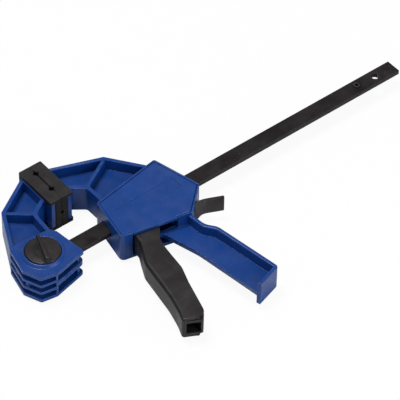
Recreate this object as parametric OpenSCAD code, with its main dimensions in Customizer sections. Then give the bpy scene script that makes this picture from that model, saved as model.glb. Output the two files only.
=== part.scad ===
// Quick release bar clamp, lying on its side with its jaws closed.
// x runs along the bar, from the closed jaw faces towards the bar's free end.
// y runs across the bar, from its centreline towards the pads.
// z runs up from the surface that the pads lie on.
// Heights inside a module are counted from the clamp's middle plane.

/* [Bar] */
// Width of the bar
bar_w = 14; // [12:0.5:15]
// Thickness of the bar
bar_t = 4.5; // [3.5:0.25:5]
// Length of the bar
bar_len = 374; // [260:1:700]
// Diameter of the hole near each end of the bar
bar_hole_d = 6.5; // [6.3:0.1:8]
// Distance from each end of the bar to its hole
bar_hole_inset = 20; // [18:0.5:22]
// Distance from the bar's free end to the stop pin
stop_inset = 40; // [30:1:80]
// Diameter of the stop pin
stop_pin_d = 5; // [4:0.25:6]
// Height of the stop pin above each face of the bar
stop_pin_proud = 2; // [1:0.25:4]

/* [Jaw faces] */
// Distance from the bar's centreline to the near end of the pads
throat = 35.2; // [34:0.2:60]
// Length of a pad
pad_len = 42.3; // [41:0.1:46]
// Height of a pad, which is the lowest and widest part of the clamp
pad_w = 31.6; // [31:0.1:36]
// Thickness of the rubber in front of the jaw plate
pad_face = 5.8; // [4.5:0.1:8]
// Thickness of the rubber lip behind the jaw plate
pad_lip = 0.9; // [0.6:0.1:1.5]
// Thickness of the jaw plate
plate_t = 3.8; // [3:0.1:5]
// Width of the two grooves across a pad
groove_w = 4.8; // [3:0.2:6]
// Width of the groove along a pad
long_groove_w = 3.6; // [2:0.2:4.6]

/* [Arms] */
// Height of the arms' rims
arm_w = 24; // [20:0.5:24.4]
// Thickness of the arms' rims and ribs
rim_t = 3; // [2:0.25:4]
// Thickness of the web in the arms' middle plane
web_t = 4; // [3:0.25:4.4]
// Reach of the moving arm's knee along the bar
moving_knee = 54.3; // [50:0.5:58]
// Reach of the fixed arm's knee along the bar
fixed_knee = 43.9; // [41:0.5:47]
// Distance from the bar's centreline to the knees
knee_y = 54; // [52:0.5:58]

/* [Housing] */
// Height of the housing, the jaw plates and the fixed jaw's base
body_w = 27; // [26.4:0.2:29]
// Thickness of the housing's walls
wall = 2.6; // [2:0.1:3]
// Thickness of the housing's floor and of its cover
skin = 2.9; // [2.4:0.1:3.2]
// Width of the rim that the cover is let into
cover_rim = 1.5; // [1.2:0.1:1.8]
// Length of the recessed label panel
panel_len = 59; // [40:1:62]
// Width of the recessed label panel
panel_w = 13.4; // [8:0.2:16]
// Depth of the recessed label panel
panel_depth = 0.5; // [0.3:0.1:1]

/* [Grip] */
// Height of the grip's back rim
grip_w = 23; // [20:0.5:26]
// Thickness of the grip's back rim
grip_rim_t = 3.5; // [2.5:0.25:5]
// Distance from the bar's centreline to the grip's end
grip_reach = 118; // [110:1:130]

/* [Trigger] */
// Squeeze angle of the trigger
trigger_swing = 15; // [8:0.5:15]
// Distance from the bar's centreline to the trigger's end
trigger_reach = 117.4; // [108:0.5:125]
// Diameter of the trigger's and the release lever's pins
pin_d = 4; // [3:0.25:4.5]
// Diameter of the dowel that pushes the drive plates
roller_d = 4; // [3:0.25:4]
// Wall between the trigger's front and its hollow end
socket_wall = 3.6; // [2.5:0.1:4.5]
// Width of the trigger's hollow end
socket_w = 10.6; // [8:0.2:11]
// Height of the trigger's hollow end
socket_h = 10.8; // [9:0.2:11]
// Depth of the trigger's hollow end
socket_depth = 34; // [15:1:40]

/* [Plates and springs] */
// Thickness of one drive plate
drive_plate_t = 3; // [2:0.25:3.5]
// Thickness of one brake plate
brake_plate_t = 2.5; // [2:0.1:2.8]
// Width of the drive and brake plates
plate_w = 18.4; // [16:0.2:19.6]
// Angle at which the brake plates stand cocked on the bar
cock_angle = 5; // [3:0.25:5]
// Wire diameter of the drive spring
drive_wire_d = 1.2; // [0.9:0.1:1.2]
// Wire diameter of the brake spring
brake_wire_d = 1.1; // [0.8:0.1:1.1]

/* [Release lever] */
// Width of the lever's blade
blade_w = 14; // [10:0.5:18]
// Thickness of the lever's blade
blade_t = 2.8; // [2:0.2:4]

/* [Knob] */
// Diameter of the knob's head
knob_d = 28; // [22:0.5:29]
// Thickness of the knob's head
knob_t = 4; // [3:0.25:5]
// Height of the knob's finger fin
fin_h = 5; // [3:0.1:6]
// Thickness of the finger fin
fin_t = 3.2; // [2:0.2:5]
// Angle of the finger fin from the bar when the jaw is locked
fin_angle = 71; // [45:1:90]
// Diameter of the knob's shank
lock_pin_d = 6; // [5:0.1:6]
// Diameter of the bayonet cross pin
bayonet_d = 2.4; // [1.6:0.1:2.6]

/* [Screws] */
// Diameter of the cover screws
screw_d = 2.8; // [2.4:0.1:3.2]
// Diameter of the cover screws' heads
screw_head_d = 5.4; // [4.8:0.1:5.8]
// Length of the cover screws below their heads
screw_len = 16; // [12:0.5:17]

/* [Hidden] */
$fn = 48;

// Clearances
slide_gap = 0.15;   // round the bar in its guides
run_gap = 0.05;     // on the radius of a turning pin
seat_gap = 0.02;    // on the radius of a pin that stays put
part_gap = 0.3;     // between pieces that move past each other
seam_gap = 0.3;     // round the cover in its rim
over = 1;           // how far a cutting tool reaches past a face

// Heights
mid_z = pad_w / 2;
body_h = body_w / 2;
arm_h = arm_w / 2;
cavity_h = body_h - skin;
lever_h = cavity_h - part_gap;
bar_h = bar_t / 2;
bar_edge = bar_w / 2;

// Places along the bar
bar_near_x = -64;
bar_free_x = bar_near_x + bar_len;
lock_x = -44;
hang_x = bar_free_x - bar_hole_inset;
stop_x = bar_free_x - stop_inset;
face_gap = 0.15;    // half the gap between the closed pads

// Jaw plates and pads
plate_x = face_gap + pad_face;
plate_back = plate_x + plate_t;
pad_back = plate_back + pad_lip;
pad_end = throat + pad_len;
pad_cap = 2.2;      // rubber beyond the plate's far end
plate_end = pad_end - pad_cap;
groove_ys = [throat + 13.4, throat + 33.8];

// Housing outline, from the bar's front entry round to the trigger's front
housing_pts = [[11.8, -24], [71, -36.7], [94.1, -16.3], [82.7, 26.3], [18.9, 16.2]];
housing_rounds = [3.5, 1.5, 1.5, 2, 1.2];
guide_w = 2 * bar_edge + 5;         // width of the bar's guides
front_guide_x = 20.5;
bulkhead_x = 64;
bulkhead_t = 2.5;
rear_guide_x = 84;
trigger_slot_x = [21.9, 59];
release_slot_s = [12.3, 20.3];      // along the rear wall from its corner next to the bar
screw_places = [[23.9, 11], [76.5, 19.4], [18.9, -17.3], [62.3, -26.8]];
screw_boss_r = 3.6;
cover_post_r = 3;
post_foot = -5.8;                   // lower end of the cover's posts
boss_top = post_foot - 0.2;
head_seat = -body_h + 2.2;          // underside of the floor that a screw head bears on
pilot_gap = 0.02;

// Mechanism
pivot = [40, bar_edge + 5.2];
hub_r = 4.2;
roller_at = [42.8, -bar_edge - 6];
drive_x = roller_at.x + roller_d / 2 + run_gap;
drive_foot = -bar_edge - 9;
drive_head = bar_edge + 4.5;
drive_back = drive_x + 2 * drive_plate_t + run_gap;
release_at = [74, -bar_edge - 12.5];
brake_x = release_at.x - 1.9;
brake_foot = release_at.y + pin_d / 2 + 0.7;
brake_head = bar_edge + 5;
brake_slot = bar_edge + 0.35;
brake_back = brake_x + 2 * brake_plate_t + run_gap;
spring_r = bar_edge + 1.6;
brake_spring_x = release_at.x + 2.6;
lever_spine = [[83, -26.6], [89.6, -26.9], [104.8, -33.9]];

// Fixed jaw base
base_pts = [[-62.4, 17.9], [-67.5, -6.2], [-61.3, -20.7], [-47.2, -24], [-18.8, -18], [-22.7, 11],
    [-26.4, 16.5]];
foot_pts = [for (i = [0:6]) i == 3 ? [-47.8, -23] : i == 4 ? [-17.8, -16.4] : base_pts[i]];  // lower flanges
base_split_x = -48.5;
base_wall_t = 2.5;
base_end_x = -21.5;
base_skin = 3;
rib_h = [bar_h + 0.25, bar_h + 2.8];
channel_w = bar_edge + slide_gap + base_wall_t;

// Knob
boss_r = 17.5;
boss_lip = 1.2;
boss_h = 2;
boss_top_h = body_h + boss_h;
knob_r = knob_d / 2;
knob_head_h = boss_top_h + 0.5;
knob_foot_h = knob_head_h - knob_t;
pocket_h = knob_foot_h - part_gap;
boss_floor = 3.2;
chamber_r = 7.4;
bayonet_len = 12;
bayonet_h = (rib_h[1] + pocket_h - boss_floor) / 2;
ring_r = 9;
ring_wire_r = 0.9;
shank_foot_h = -body_h + 1.7;
shank_top_h = knob_head_h - 1.3;

// --- Helpers -------------------------------------------------------------------------------------

function unit(v) = v / norm(v);
function left_of(v) = [-v.y, v.x];
function turned(v, a) = [v.x * cos(a) - v.y * sin(a), v.x * sin(a) + v.y * cos(a)];
function wrap(pts, i) = pts[(i + len(pts)) % len(pts)];

// A polygon's corner, moved inwards by d (the points run anticlockwise)
function inset_corner(p, c, n, d) =
    let (n1 = left_of(unit(c - p)), n2 = left_of(unit(n - c)))
    c + d * (n1 + n2) / (1 + n1 * n2);
function inset(pts, d) =
    [for (i = [0:len(pts) - 1]) inset_corner(wrap(pts, i - 1), pts[i], wrap(pts, i + 1), d)];

// A polygon's corner as an arc of radius r
function arc_corner(p, c, n, r, steps = 6) =
    let (e1 = unit(c - p), e2 = unit(n - c), turn = atan2(cross(e1, e2), e1 * e2), side = sign(turn),
        back = r * tan(abs(turn) / 2), spoke = -side * r * left_of(e1), hub = c - back * e1 - spoke)
    r <= 0 || abs(turn) < 1 ? [c] : [for (k = [0:steps]) hub + turned(spoke, turn * k / steps)];
function rounded(pts, radii) =
    [for (i = [0:len(pts) - 1]) each arc_corner(wrap(pts, i - 1), pts[i], wrap(pts, i + 1), radii[i])];

// The point of the line through a and b whose x is given
function on_line(a, b, x) = [x, a.y + (b.y - a.y) * (x - a.x) / (b.x - a.x)];

// A place on the housing's rear wall: s along it, n outwards
function on_rear_wall(s, n) = let (e = unit(housing_pts[1] - housing_pts[2]))
    housing_pts[2] + s * e + n * left_of(e);

// Extrudes between two heights counted from the middle plane
module layer(z0, z1) translate([0, 0, mid_z + z0]) linear_extrude(z1 - z0) children();
module both_sides(h) layer(-h, h) children();

// A box given by its lowest and highest corners, in plan and height from the middle plane
module block(x, y, z) layer(z[0], z[1]) translate([x[0], y[0]]) square([x[1] - x[0], y[1] - y[0]]);

// A round hole or rod along z
module rod(at, r, z0, z1) translate([at.x, at.y, mid_z + z0]) cylinder(r = r, h = z1 - z0);

// Turns its children about a point of the plan
module turn_about(at, a) translate([at.x, at.y, 0]) rotate(a) translate([-at.x, -at.y, 0]) children();

// The space that the bar slides through, between two places along it
module bar_way(x0, x1) block([x0, x1], (bar_edge + slide_gap) * [-1, 1], (bar_h + slide_gap) * [-1, 1]);

// A coil round the bar, from x0 to x1
module coil(x0, x1, wire_d, turns) {
    sides = 8;
    steps = 20;
    count = turns * steps;
    wire_r = wire_d / 2;
    pitch = (x1 - x0 - wire_d) / count;
    points = [for (i = [0:count], k = [0:sides - 1])
        let (a = 360 * i / steps, b = 360 * k / sides, reach = spring_r + wire_r * cos(b))
        [x0 + wire_r + pitch * i + wire_r * sin(b), reach * cos(a), mid_z + reach * sin(a)]];
    quads = [for (i = [0:count - 1], k = [0:sides - 1])
        let (a = i * sides + k, b = i * sides + (k + 1) % sides)
        [a, b, b + sides, a + sides]];
    first = [for (k = [sides - 1:-1:0]) k];
    last = [for (k = [0:sides - 1]) count * sides + k];
    polyhedron(points, concat(quads, [first, last]), convexity = 8);
}

// --- Bar -----------------------------------------------------------------------------------------

bar_chamfer = 0.5;

module bar_section() polygon([
    for (s = [[1, 1], [-1, 1], [-1, -1], [1, -1]], k = [0, 1])
    let (first = (s.x == s.y) == (k == 0))
    [s.x * (bar_edge - (first ? 0 : bar_chamfer)), s.y * (bar_h - (first ? bar_chamfer : 0))]
]);

module bar() color("#1d1d1f") difference() {
    translate([bar_near_x, 0, mid_z]) rotate([90, 0, 90]) linear_extrude(bar_len) bar_section();
    for (x = [lock_x, hang_x]) rod([x, 0], bar_hole_d / 2, -bar_h - over, bar_h + over);
    rod([stop_x, 0], stop_pin_d / 2, -bar_h - over, bar_h + over);
}

module stop_pin() color("#3a3a3c") {
    pin_wall = stop_pin_d * 0.17;
    reach = bar_h + stop_pin_proud;
    slit = 0.8;
    difference() {
        rod([stop_x, 0], stop_pin_d / 2, -reach, reach);
        rod([stop_x, 0], stop_pin_d / 2 - pin_wall, -reach - over, reach + over);
        block([stop_x, stop_x + stop_pin_d], slit / 2 * [-1, 1], (reach + over) * [-1, 1]);
    }
}

// --- Jaw faces -----------------------------------------------------------------------------------

// The plate that carries a pad, on the moving jaw's side
module jaw_plate() block([plate_x, plate_back], [throat + 0.4, plate_end], body_h * [-1, 1]);

// A pad, on the moving jaw's side, with lips behind its plate above and below the arm
module pad(arm_top) {
    pad_round = 1;
    fit = 0.05;
    plan = rounded([[face_gap, throat], [pad_back, throat], [pad_back, pad_end], [face_gap, pad_end]],
        [0.3, pad_round, pad_round, 0.3]);
    groove_r = groove_w / sqrt(2);
    difference() {
        both_sides(mid_z) polygon(plan);
        block([plate_x - fit, plate_back + fit], [throat - over, plate_end + fit], (body_h + fit) * [-1, 1]);
        block([plate_back, pad_back + over], [throat - over, arm_top], (arm_h + part_gap) * [-1, 1]);
        for (y = groove_ys) both_sides(mid_z + over) translate([face_gap, y]) rotate(45)
            square(groove_r, center = true);
        translate([face_gap, throat - over, mid_z]) rotate([-90, 0, 0]) linear_extrude(pad_len + 2 * over)
            rotate(45) square(long_groove_w / sqrt(2), center = true);
    }
}

module moving_pad() color("#2b2b2c") pad(plate_end - 3.4);
module fixed_pad() color("#2b2b2c") mirror([1, 0, 0]) pad(plate_end - 0.4);

// An arm of I section: a rim round its outline, a web in the middle plane and one rib
module arm(outline, rounds, rib_from, rib_to) {
    rim_inner = inset(outline, rim_t);
    across = rim_t / 2 * left_of(unit(rib_to - rib_from));
    difference() {
        both_sides(arm_h) polygon(rounded(outline, rounds));
        both_sides(arm_h + over) polygon(rounded(rim_inner, [for (r = rounds) max(0.6, r - 1)]));
    }
    both_sides(web_t / 2) polygon(rounded(outline, rounds));
    both_sides(arm_h - 0.4) polygon([rib_from - across, rib_to - across, rib_to + across, rib_from + across]);
}

// --- Fixed jaw -----------------------------------------------------------------------------------

fixed_bend = [-23.6, throat + 1];
fixed_outline = [
    [-plate_back + 1.5, plate_end + 0.35], [-fixed_knee, knee_y], [-61.9, 17.8], [-25.2, 14.5],
    fixed_bend, [-plate_back + 1.5, throat + 10.3]
];

module base_plan(pts) polygon(rounded(pts, [1, 2, 2, 2, pts == base_pts ? 1.2 : 3, 1, 2]));

module base() {
    far = 2 * bar_len;
    channel_end = base_end_x - base_wall_t;
    layer(body_h - base_skin, body_h) base_plan(base_pts);
    layer(-body_h, -body_h + base_skin) base_plan(foot_pts);
    // Two thin ribs beside the bar, which stop at the post in the open corner
    for (z = [rib_h, -[rib_h[1], rib_h[0]]]) layer(z[0], z[1]) intersection() {
        base_plan(foot_pts);
        union() {
            translate([base_split_x + 0.5 - far, -far / 2]) square(far);
            translate([-far / 2, -channel_w]) square(far);
        }
    }
    // One thicker rib beyond the post
    layer(-rib_h[0], rib_h[0]) intersection() {
        base_plan(foot_pts);
        translate([base_split_x, -far - channel_w + 1]) square(far);
    }
    // Side walls of the bar's channel: full height behind the left edge, low between the thin ribs
    for (wall_from = [[base_pts[2].x + 1.5, body_h - 1], [base_pts[1].x, rib_h[0] + 0.1]])
        both_sides(wall_from[1]) intersection() {
            polygon(inset(foot_pts, 0.8));
            for (y = [-channel_w, channel_w - base_wall_t]) translate([wall_from[0], y])
                square([channel_end - wall_from[0] + 0.5, base_wall_t]);
        }
    // Post and end wall
    both_sides(body_h - 1) intersection() {
        polygon(inset(foot_pts, 0.3));
        union() {
            translate([base_split_x, base_pts[3].y]) square([base_wall_t, -base_pts[3].y - channel_w + 1]);
            translate([channel_end, -16]) square([base_wall_t, 40]);
        }
    }
}

module knob_boss() translate([lock_x, 0, 0]) {
    rod([0, 0], boss_r - 1.5, rib_h[1] - 0.5, body_h);
    translate([0, 0, mid_z + body_h - over]) cylinder(r = boss_r, h = over);
    translate([0, 0, mid_z + body_h]) cylinder(r1 = boss_r, r2 = knob_r + boss_lip + part_gap, h = boss_h);
    rod([0, 0], lock_pin_d / 2 + 3, -body_h + 1, -rib_h[0]);
}

module knob_boss_cuts() translate([lock_x, 0, 0]) {
    rod([0, 0], knob_r + part_gap, pocket_h, boss_top_h + over);
    rod([0, 0], chamber_r, rib_h[1], pocket_h - boss_floor);
    rod([0, 0], lock_pin_d / 2 + run_gap, -body_h - over, boss_top_h);
    // Keyway that lets the cross pin out once the knob is turned a quarter
    rotate(fin_angle + 90) block((bayonet_len / 2 + 0.6) * [-1, 1], (bayonet_d / 2 + 0.25) * [-1, 1],
        [pocket_h - boss_floor - 0.5, pocket_h + over]);
    translate([0, 0, mid_z + pocket_h - 2 * ring_wire_r + 0.1]) rotate_extrude()
        translate([ring_r - ring_wire_r - 0.1, 0]) square([2 * ring_wire_r + 0.2, 2 * ring_wire_r + over]);
}

module fixed_jaw() color("#2445a5") difference() {
    union() {
        mirror([1, 0, 0]) jaw_plate();
        arm(fixed_outline, [0.5, 2.5, 1, 0, 4, 0.5], [-fixed_knee + 1.5, knee_y - 1.5], fixed_bend + [-1, 1.5]);
        base();
        knob_boss();
    }
    knob_boss_cuts();
    bar_way(base_pts[1].x - over, base_end_x + over);
}

// --- Knob ----------------------------------------------------------------------------------------

module lock_knob() color("#2d2a2a") {
    edge = 0.7;
    fin_foot = 4.2;
    difference() {
        union() {
            rod([lock_x, 0], knob_r, knob_foot_h, knob_head_h - edge);
            translate([lock_x, 0, mid_z + knob_head_h - edge]) cylinder(r1 = knob_r, r2 = knob_r - edge, h = edge);
            // Fin, with sloping flanks
            translate([lock_x, 0, mid_z + knob_head_h - 0.2]) rotate(fin_angle) rotate([90, 0, 90])
                translate([0, 0, -knob_r + 0.2]) linear_extrude(2 * knob_r - 0.4) polygon([
                    [-fin_foot / 2, 0], [fin_foot / 2, 0], [fin_t / 2, fin_h - 0.6], [fin_t / 2 - 0.7, fin_h + 0.2],
                    [-fin_t / 2 + 0.7, fin_h + 0.2], [-fin_t / 2, fin_h - 0.6]
                ]);
        }
        rod([lock_x, 0], lock_pin_d / 2 + seat_gap, knob_foot_h - over, shank_top_h);
    }
}

module lock_pin() color("#9a9ca0") {
    tip = 0.8;
    difference() {
        union() {
            rod([lock_x, 0], lock_pin_d / 2, shank_foot_h + tip, shank_top_h);
            translate([lock_x, 0, mid_z + shank_foot_h])
                cylinder(r1 = lock_pin_d / 2 - tip, r2 = lock_pin_d / 2, h = tip);
        }
        bayonet_rod(bayonet_d / 2 + seat_gap, lock_pin_d + over);
    }
}

module bayonet_rod(r, length) translate([lock_x, 0, mid_z + bayonet_h]) rotate(fin_angle) rotate([0, 90, 0])
    cylinder(r = r, h = length, center = true);

module bayonet_pin() color("#b0b2b6") bayonet_rod(bayonet_d / 2, bayonet_len);

module knob_ring() color("#141414") translate([lock_x, 0, mid_z + pocket_h - ring_wire_r + 0.15])
    rotate_extrude() translate([ring_r, 0]) circle(r = ring_wire_r);

// --- Moving jaw ----------------------------------------------------------------------------------

moving_bend = [23.3, throat - 0.6];
moving_outline = [
    [plate_back - 1.5, throat + 10.6], moving_bend, [23.7, 12], [79.4, 20.2],
    [moving_knee, knee_y], on_line([13.8, throat + 34.2], [moving_knee, knee_y], plate_back - 1.5)
];

// Grip: its back edge has two soft bends behind the web between thumb and finger
grip_front = [[48.8, -42], [55.4, -65.5], [64.6, -grip_reach - 4.6]];
grip_back = [[70.6, -33], [72.2, -50.5], [78.6, -58.5], [88.8, -grip_reach - 0.6]];
grip_end = [66.6, -grip_reach - 7];
grip_end_t = 3.2;
grip_end_lean = 2;                // how much further the end wall's lower corner reaches
web_root = [[40.8, -28], [46.6, -33]];

module grip() {
    back = grip_back;
    inner = [for (i = [0:3]) inset_corner(back[max(i - 1, 0)] + (i == 0 ? [0, 10] : [0, 0]), back[i],
        i == 3 ? back[3] + unit(back[3] - back[2]) : back[i + 1], -grip_rim_t)];
    both_sides(web_t / 2) polygon(rounded(
        concat(web_root, grip_front, [back[3], back[2], back[1], back[0], [60, -30]]),
        [0, 6, 6, 60, 0, 2.4, 12, 12, 0, 0]));
    both_sides(grip_w / 2) polygon(rounded(
        concat(back, [inner[3], inner[2], inner[1], inner[0]]), [0, 12, 12, 2.4, 0, 10, 10, 0]));
    // End wall, with a nib that reaches past the front edge
    along = unit(grip_end - back[3]);
    reach = norm(grip_end - back[3]);
    h = grip_w / 2;
    intersection() {
        both_sides(h) polygon(rounded([back[3], grip_end + grip_end_lean * along,
            grip_end + grip_end_lean * along + grip_end_t * left_of(-along), back[3] + grip_end_t * left_of(-along)],
            [2.4, 1.5, 1.5, 0]));
        translate([back[3].x, back[3].y, mid_z]) rotate(atan2(along.y, along.x)) rotate([90, 0, 0])
            translate([0, 0, -2 * grip_end_t]) linear_extrude(4 * grip_end_t) polygon(rounded(
                [[-1, -h], [reach + grip_end_lean, -h], [reach, h], [-1, h]], [0, 3, 0.8, 0]));
    }
}

module housing_cavity() {
    layer(-cavity_h, body_h + over) polygon(inset(housing_pts, wall));
    layer(cavity_h, body_h + over) polygon(inset(housing_pts, cover_rim));
}

module bar_guides() {
    block([wall + housing_pts[0].x, front_guide_x], guide_w / 2 * [-1, 1], cavity_h * [-1, 1]);
    block([rear_guide_x, rear_guide_x + 6], (guide_w / 2 + 1) * [-1, 1], cavity_h * [-1, 1]);
    // Bulkhead between the two springs
    block([bulkhead_x, bulkhead_x + bulkhead_t], [-bar_edge - 6.5, housing_pts[4].y + 5], cavity_h * [-1, 1]);
    for (at = screw_places) rod(at, screw_boss_r, -body_h + 0.5, boss_top);
}

module moving_jaw() color("#2445a5") difference() {
    union() {
        difference() {
            union() {
                jaw_plate();
                arm(moving_outline, [0.5, 4, 0, 0, 2.5, 0.5], [moving_knee - 1, knee_y - 2], moving_bend + [1, 1.5]);
                both_sides(body_h) polygon(rounded(housing_pts, housing_rounds));
            }
            housing_cavity();
            layer(-cavity_h, body_h + over) translate([trigger_slot_x[0], -bar_edge - 40])
                square([trigger_slot_x[1] - trigger_slot_x[0], 30]);
            both_sides(cavity_h) polygon([for (p = [[0, -8], [1, -8], [1, 2], [0, 2]])
                on_rear_wall(release_slot_s[p.x], p.y)]);
        }
        intersection() {
            bar_guides();
            both_sides(body_h) polygon(inset(housing_pts, 0.5));
        }
        difference() {
            grip();
            layer(cavity_h, body_h + over) polygon(inset(housing_pts, cover_rim));
        }
    }
    bar_way(0, rear_guide_x + 20);
    for (at = [pivot, release_at]) rod(at, pin_d / 2 + seat_gap, -body_h + 1, body_h);
    for (at = screw_places) {
        rod(at, screw_d / 2 + 0.2, -body_h - over, body_h);
        rod(at, screw_head_d / 2 + 0.3, -body_h - over, head_seat);
    }
}

module side_cover() color("#2a4db0") {
    edge = cover_rim + seam_gap;
    chamfer = 0.5;
    panel_at = [22.6, 2.4 - panel_w];
    difference() {
        union() {
            hull() {
                layer(cavity_h, body_h - chamfer) polygon(inset(housing_pts, edge));
                layer(cavity_h, body_h) polygon(inset(housing_pts, edge + chamfer));
            }
            // Tongue over the trigger's slot, out to the housing's edge
            layer(cavity_h, body_h) intersection() {
                polygon(rounded(housing_pts, housing_rounds));
                translate([trigger_slot_x[0] + seam_gap, -bar_edge - 40])
                    square([trigger_slot_x[1] - trigger_slot_x[0] - 2 * seam_gap, 26]);
            }
            for (at = screw_places) rod(at, cover_post_r, post_foot, cavity_h + 0.5);
        }
        for (at = [pivot, release_at]) rod(at, pin_d / 2 + seat_gap, cavity_h - over, body_h - 1);
        for (at = screw_places) rod(at, screw_d / 2 + pilot_gap, post_foot - over, screw_len + head_seat + 0.5);
        layer(body_h - panel_depth, body_h + over) polygon(rounded(
            [panel_at, panel_at + [panel_len, 0], panel_at + [panel_len, panel_w], panel_at + [0, panel_w]],
            [0.8, 0.8, 0.8, 0.8]));
    }
}

module cover_screws() color("#8f9195") for (at = screw_places) {
    head_t = 1.8;
    recess = 0.9;
    difference() {
        union() {
            rod(at, screw_d / 2, head_seat - 0.1, head_seat + screw_len);
            rod(at, screw_head_d / 2, head_seat - head_t, head_seat);
        }
        for (a = [45, 135]) translate([at.x, at.y, 0]) rotate(a)
            block([-1.5, 1.5], [-0.35, 0.35], [head_seat - head_t - over, head_seat - head_t + recess]);
    }
}

module trigger_pin() color("#b0b2b6") rod(pivot, pin_d / 2, -body_h + 1.1, body_h - 1.1);
module release_pin() color("#b0b2b6") rod(release_at, pin_d / 2, -body_h + 1.1, body_h - 1.1);

// --- Trigger and drive ---------------------------------------------------------------------------

trigger_front = [[pivot.x - hub_r, pivot.y], [22.6, -24.5], [21.6, -33.5], [17.6, -41.3], [11.9, -53.2],
    [9, -71.2], [5.9, -90.7], [2.1, -105.3], [-1.9, 1.3 - trigger_reach]];
trigger_back = [[12.4, -trigger_reach - 6.2], [17.4, -trigger_reach - 0.4], [25.4, -90], [31.2, -74],
    [32.9, -58], [34.4, -47], [36.2, -41], [43.3, -31.4], [43.4, -8], [pivot.x + hub_r, pivot.y]];
trigger_rounds = [0, 0, 4, 8, 14, 20, 60, 60, 2.5, 1.3, 2, 30, 20, 30, 8, 6, 3, 0, 0];
trigger_skin_t = 3.6;
skin_cut = 2.9;             // how far the skins stop short of the end's back corner

module trigger() color("#2c2a2b") {
    plan = rounded(concat(trigger_front, trigger_back), trigger_rounds);
    gap_h = max(bar_h + 0.5, web_t / 2 + 0.6);
    along_end = unit(trigger_back[0] - trigger_front[8]);
    // The hollow end follows the trigger's own slope
    mouth = trigger_front[8] + (socket_wall + socket_w / 2) * along_end;
    axis = unit([29, -45] - mouth);
    across = socket_w / 2 * left_of(axis);
    cut_from = trigger_back[0] - skin_cut * along_end;
    cut_to = trigger_back[1];
    cut = unit(cut_to - cut_from);
    difference() {
        union() {
            both_sides(lever_h) polygon(plan);
            both_sides(lever_h) translate(pivot) circle(hub_r);
        }
        // The bar, and the grip's web once the trigger is squeezed, pass between the two cheeks
        both_sides(gap_h) {
            translate([0, -bar_edge - 16.5]) square([60, 64]);
            turn_about(pivot, -trigger_swing) polygon(concat([web_root[0] + [-1, 12]],
                [for (p = concat(web_root, grip_front)) p - [1, 0]], [[90, -trigger_reach], [90, -16]]));
        }
        rod(pivot, pin_d / 2 + run_gap, -body_h, body_h);
        rod(roller_at, roller_d / 2 + run_gap, -plate_w / 2 - 0.1, plate_w / 2 + 0.1);
        both_sides(socket_h / 2) polygon(rounded([mouth - 4 * axis - across, mouth - 4 * axis + across,
            mouth + socket_depth * axis + across, mouth + socket_depth * axis - across], [0, 0, 2, 2]));
        // Corner of the two skins, cut back from the hollow end's
        for (z = [[lever_h - trigger_skin_t, lever_h + over], [-lever_h - over, trigger_skin_t - lever_h]])
            layer(z[0], z[1]) polygon([cut_from - 3 * cut, cut_from - 3 * cut - 12 * left_of(cut),
                cut_to + 3 * cut - 12 * left_of(cut), cut_to + 3 * cut]);
    }
}

module trigger_roller() color("#b0b2b6") rod(roller_at, roller_d / 2, -plate_w / 2, plate_w / 2);

// A hardened plate with a window for the bar; window is half its height
module grip_plate(x, t, foot, head, window) difference() {
    block([x, x + t], [foot, head], plate_w / 2 * [-1, 1]);
    block([x - over, x + t + over], window * [-1, 1], (bar_h + 0.35) * [-1, 1]);
}

module drive_plate_front() color("#6d6f73") grip_plate(drive_x, drive_plate_t, drive_foot, drive_head,
    bar_edge + slide_gap);
module drive_plate_rear() color("#6d6f73") grip_plate(drive_x + drive_plate_t + run_gap, drive_plate_t,
    drive_foot, drive_head, bar_edge + slide_gap);

module drive_spring() color("#a8aaae") coil(drive_back + 0.05, bulkhead_x - 0.05, drive_wire_d, 4);

// --- Release lever and brake ---------------------------------------------------------------------

module cocked() turn_about(release_at, cock_angle) children();

module brake_plate_front() color("#6d6f73") cocked() grip_plate(brake_x, brake_plate_t, brake_foot, brake_head,
    brake_slot);
module brake_plate_rear() color("#6d6f73") cocked() grip_plate(brake_x + brake_plate_t + run_gap, brake_plate_t,
    brake_foot, brake_head, brake_slot);

module brake_spring() color("#a8aaae") coil(brake_spring_x, rear_guide_x - 0.05, brake_wire_d, 3);

module release_lever() color("#262626") {
    hub = 5;
    socket_h = 4.2;
    half_w = blade_w / 2;
    spine = lever_spine;
    flare = [spine[0].x - 0.6, spine[0].x + 3.6];    // where the hub's height narrows to the blade's
    ends = [release_at.x - 2 * hub, spine[2].x + hub];
    side = [for (i = [0, 1]) blade_t / 2 * left_of(unit(spine[i + 1] - spine[i]))];
    elbow = (side[0] + side[1]) / 2;
    difference() {
        union() {
            both_sides(lever_h) {
                translate(release_at) circle(hub);
                cocked() translate([brake_x - 2, release_at.y - 1])
                    square([brake_back - brake_x + 4, brake_foot + socket_h - release_at.y + 1]);
            }
            // Arm out through the rear wall and on into the blade, which flares at its root
            intersection() {
                both_sides(lever_h) polygon(rounded([
                    release_at + [-1.6, -hub + 0.4], spine[0] - side[0] - [2, 0], spine[1] - elbow,
                    spine[2] - side[1], spine[2] + side[1], spine[1] + elbow, spine[0] + side[0] - [1, 0],
                    release_at + [1.5, hub - 0.4]],
                    [0, 2, 16, 1, 1, 16, 3, 0]));
                translate([0, knee_y, mid_z]) rotate([90, 0, 0]) linear_extrude(2 * knee_y) polygon(rounded([
                    [ends[0], -lever_h], [flare[0], -lever_h], [flare[1], -half_w], [ends[1], -half_w],
                    [ends[1], half_w], [flare[1], half_w], [flare[0], lever_h], [ends[0], lever_h]],
                    [0, 1, 6, 0, 0, 6, 1, 0]));
            }
        }
        cocked() block([brake_x - 0.03, brake_back + 0.03], [brake_foot, 0], (plate_w / 2 + 0.1) * [-1, 1]);
        rod(release_at, pin_d / 2 + run_gap, -body_h, body_h);
    }
}

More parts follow.
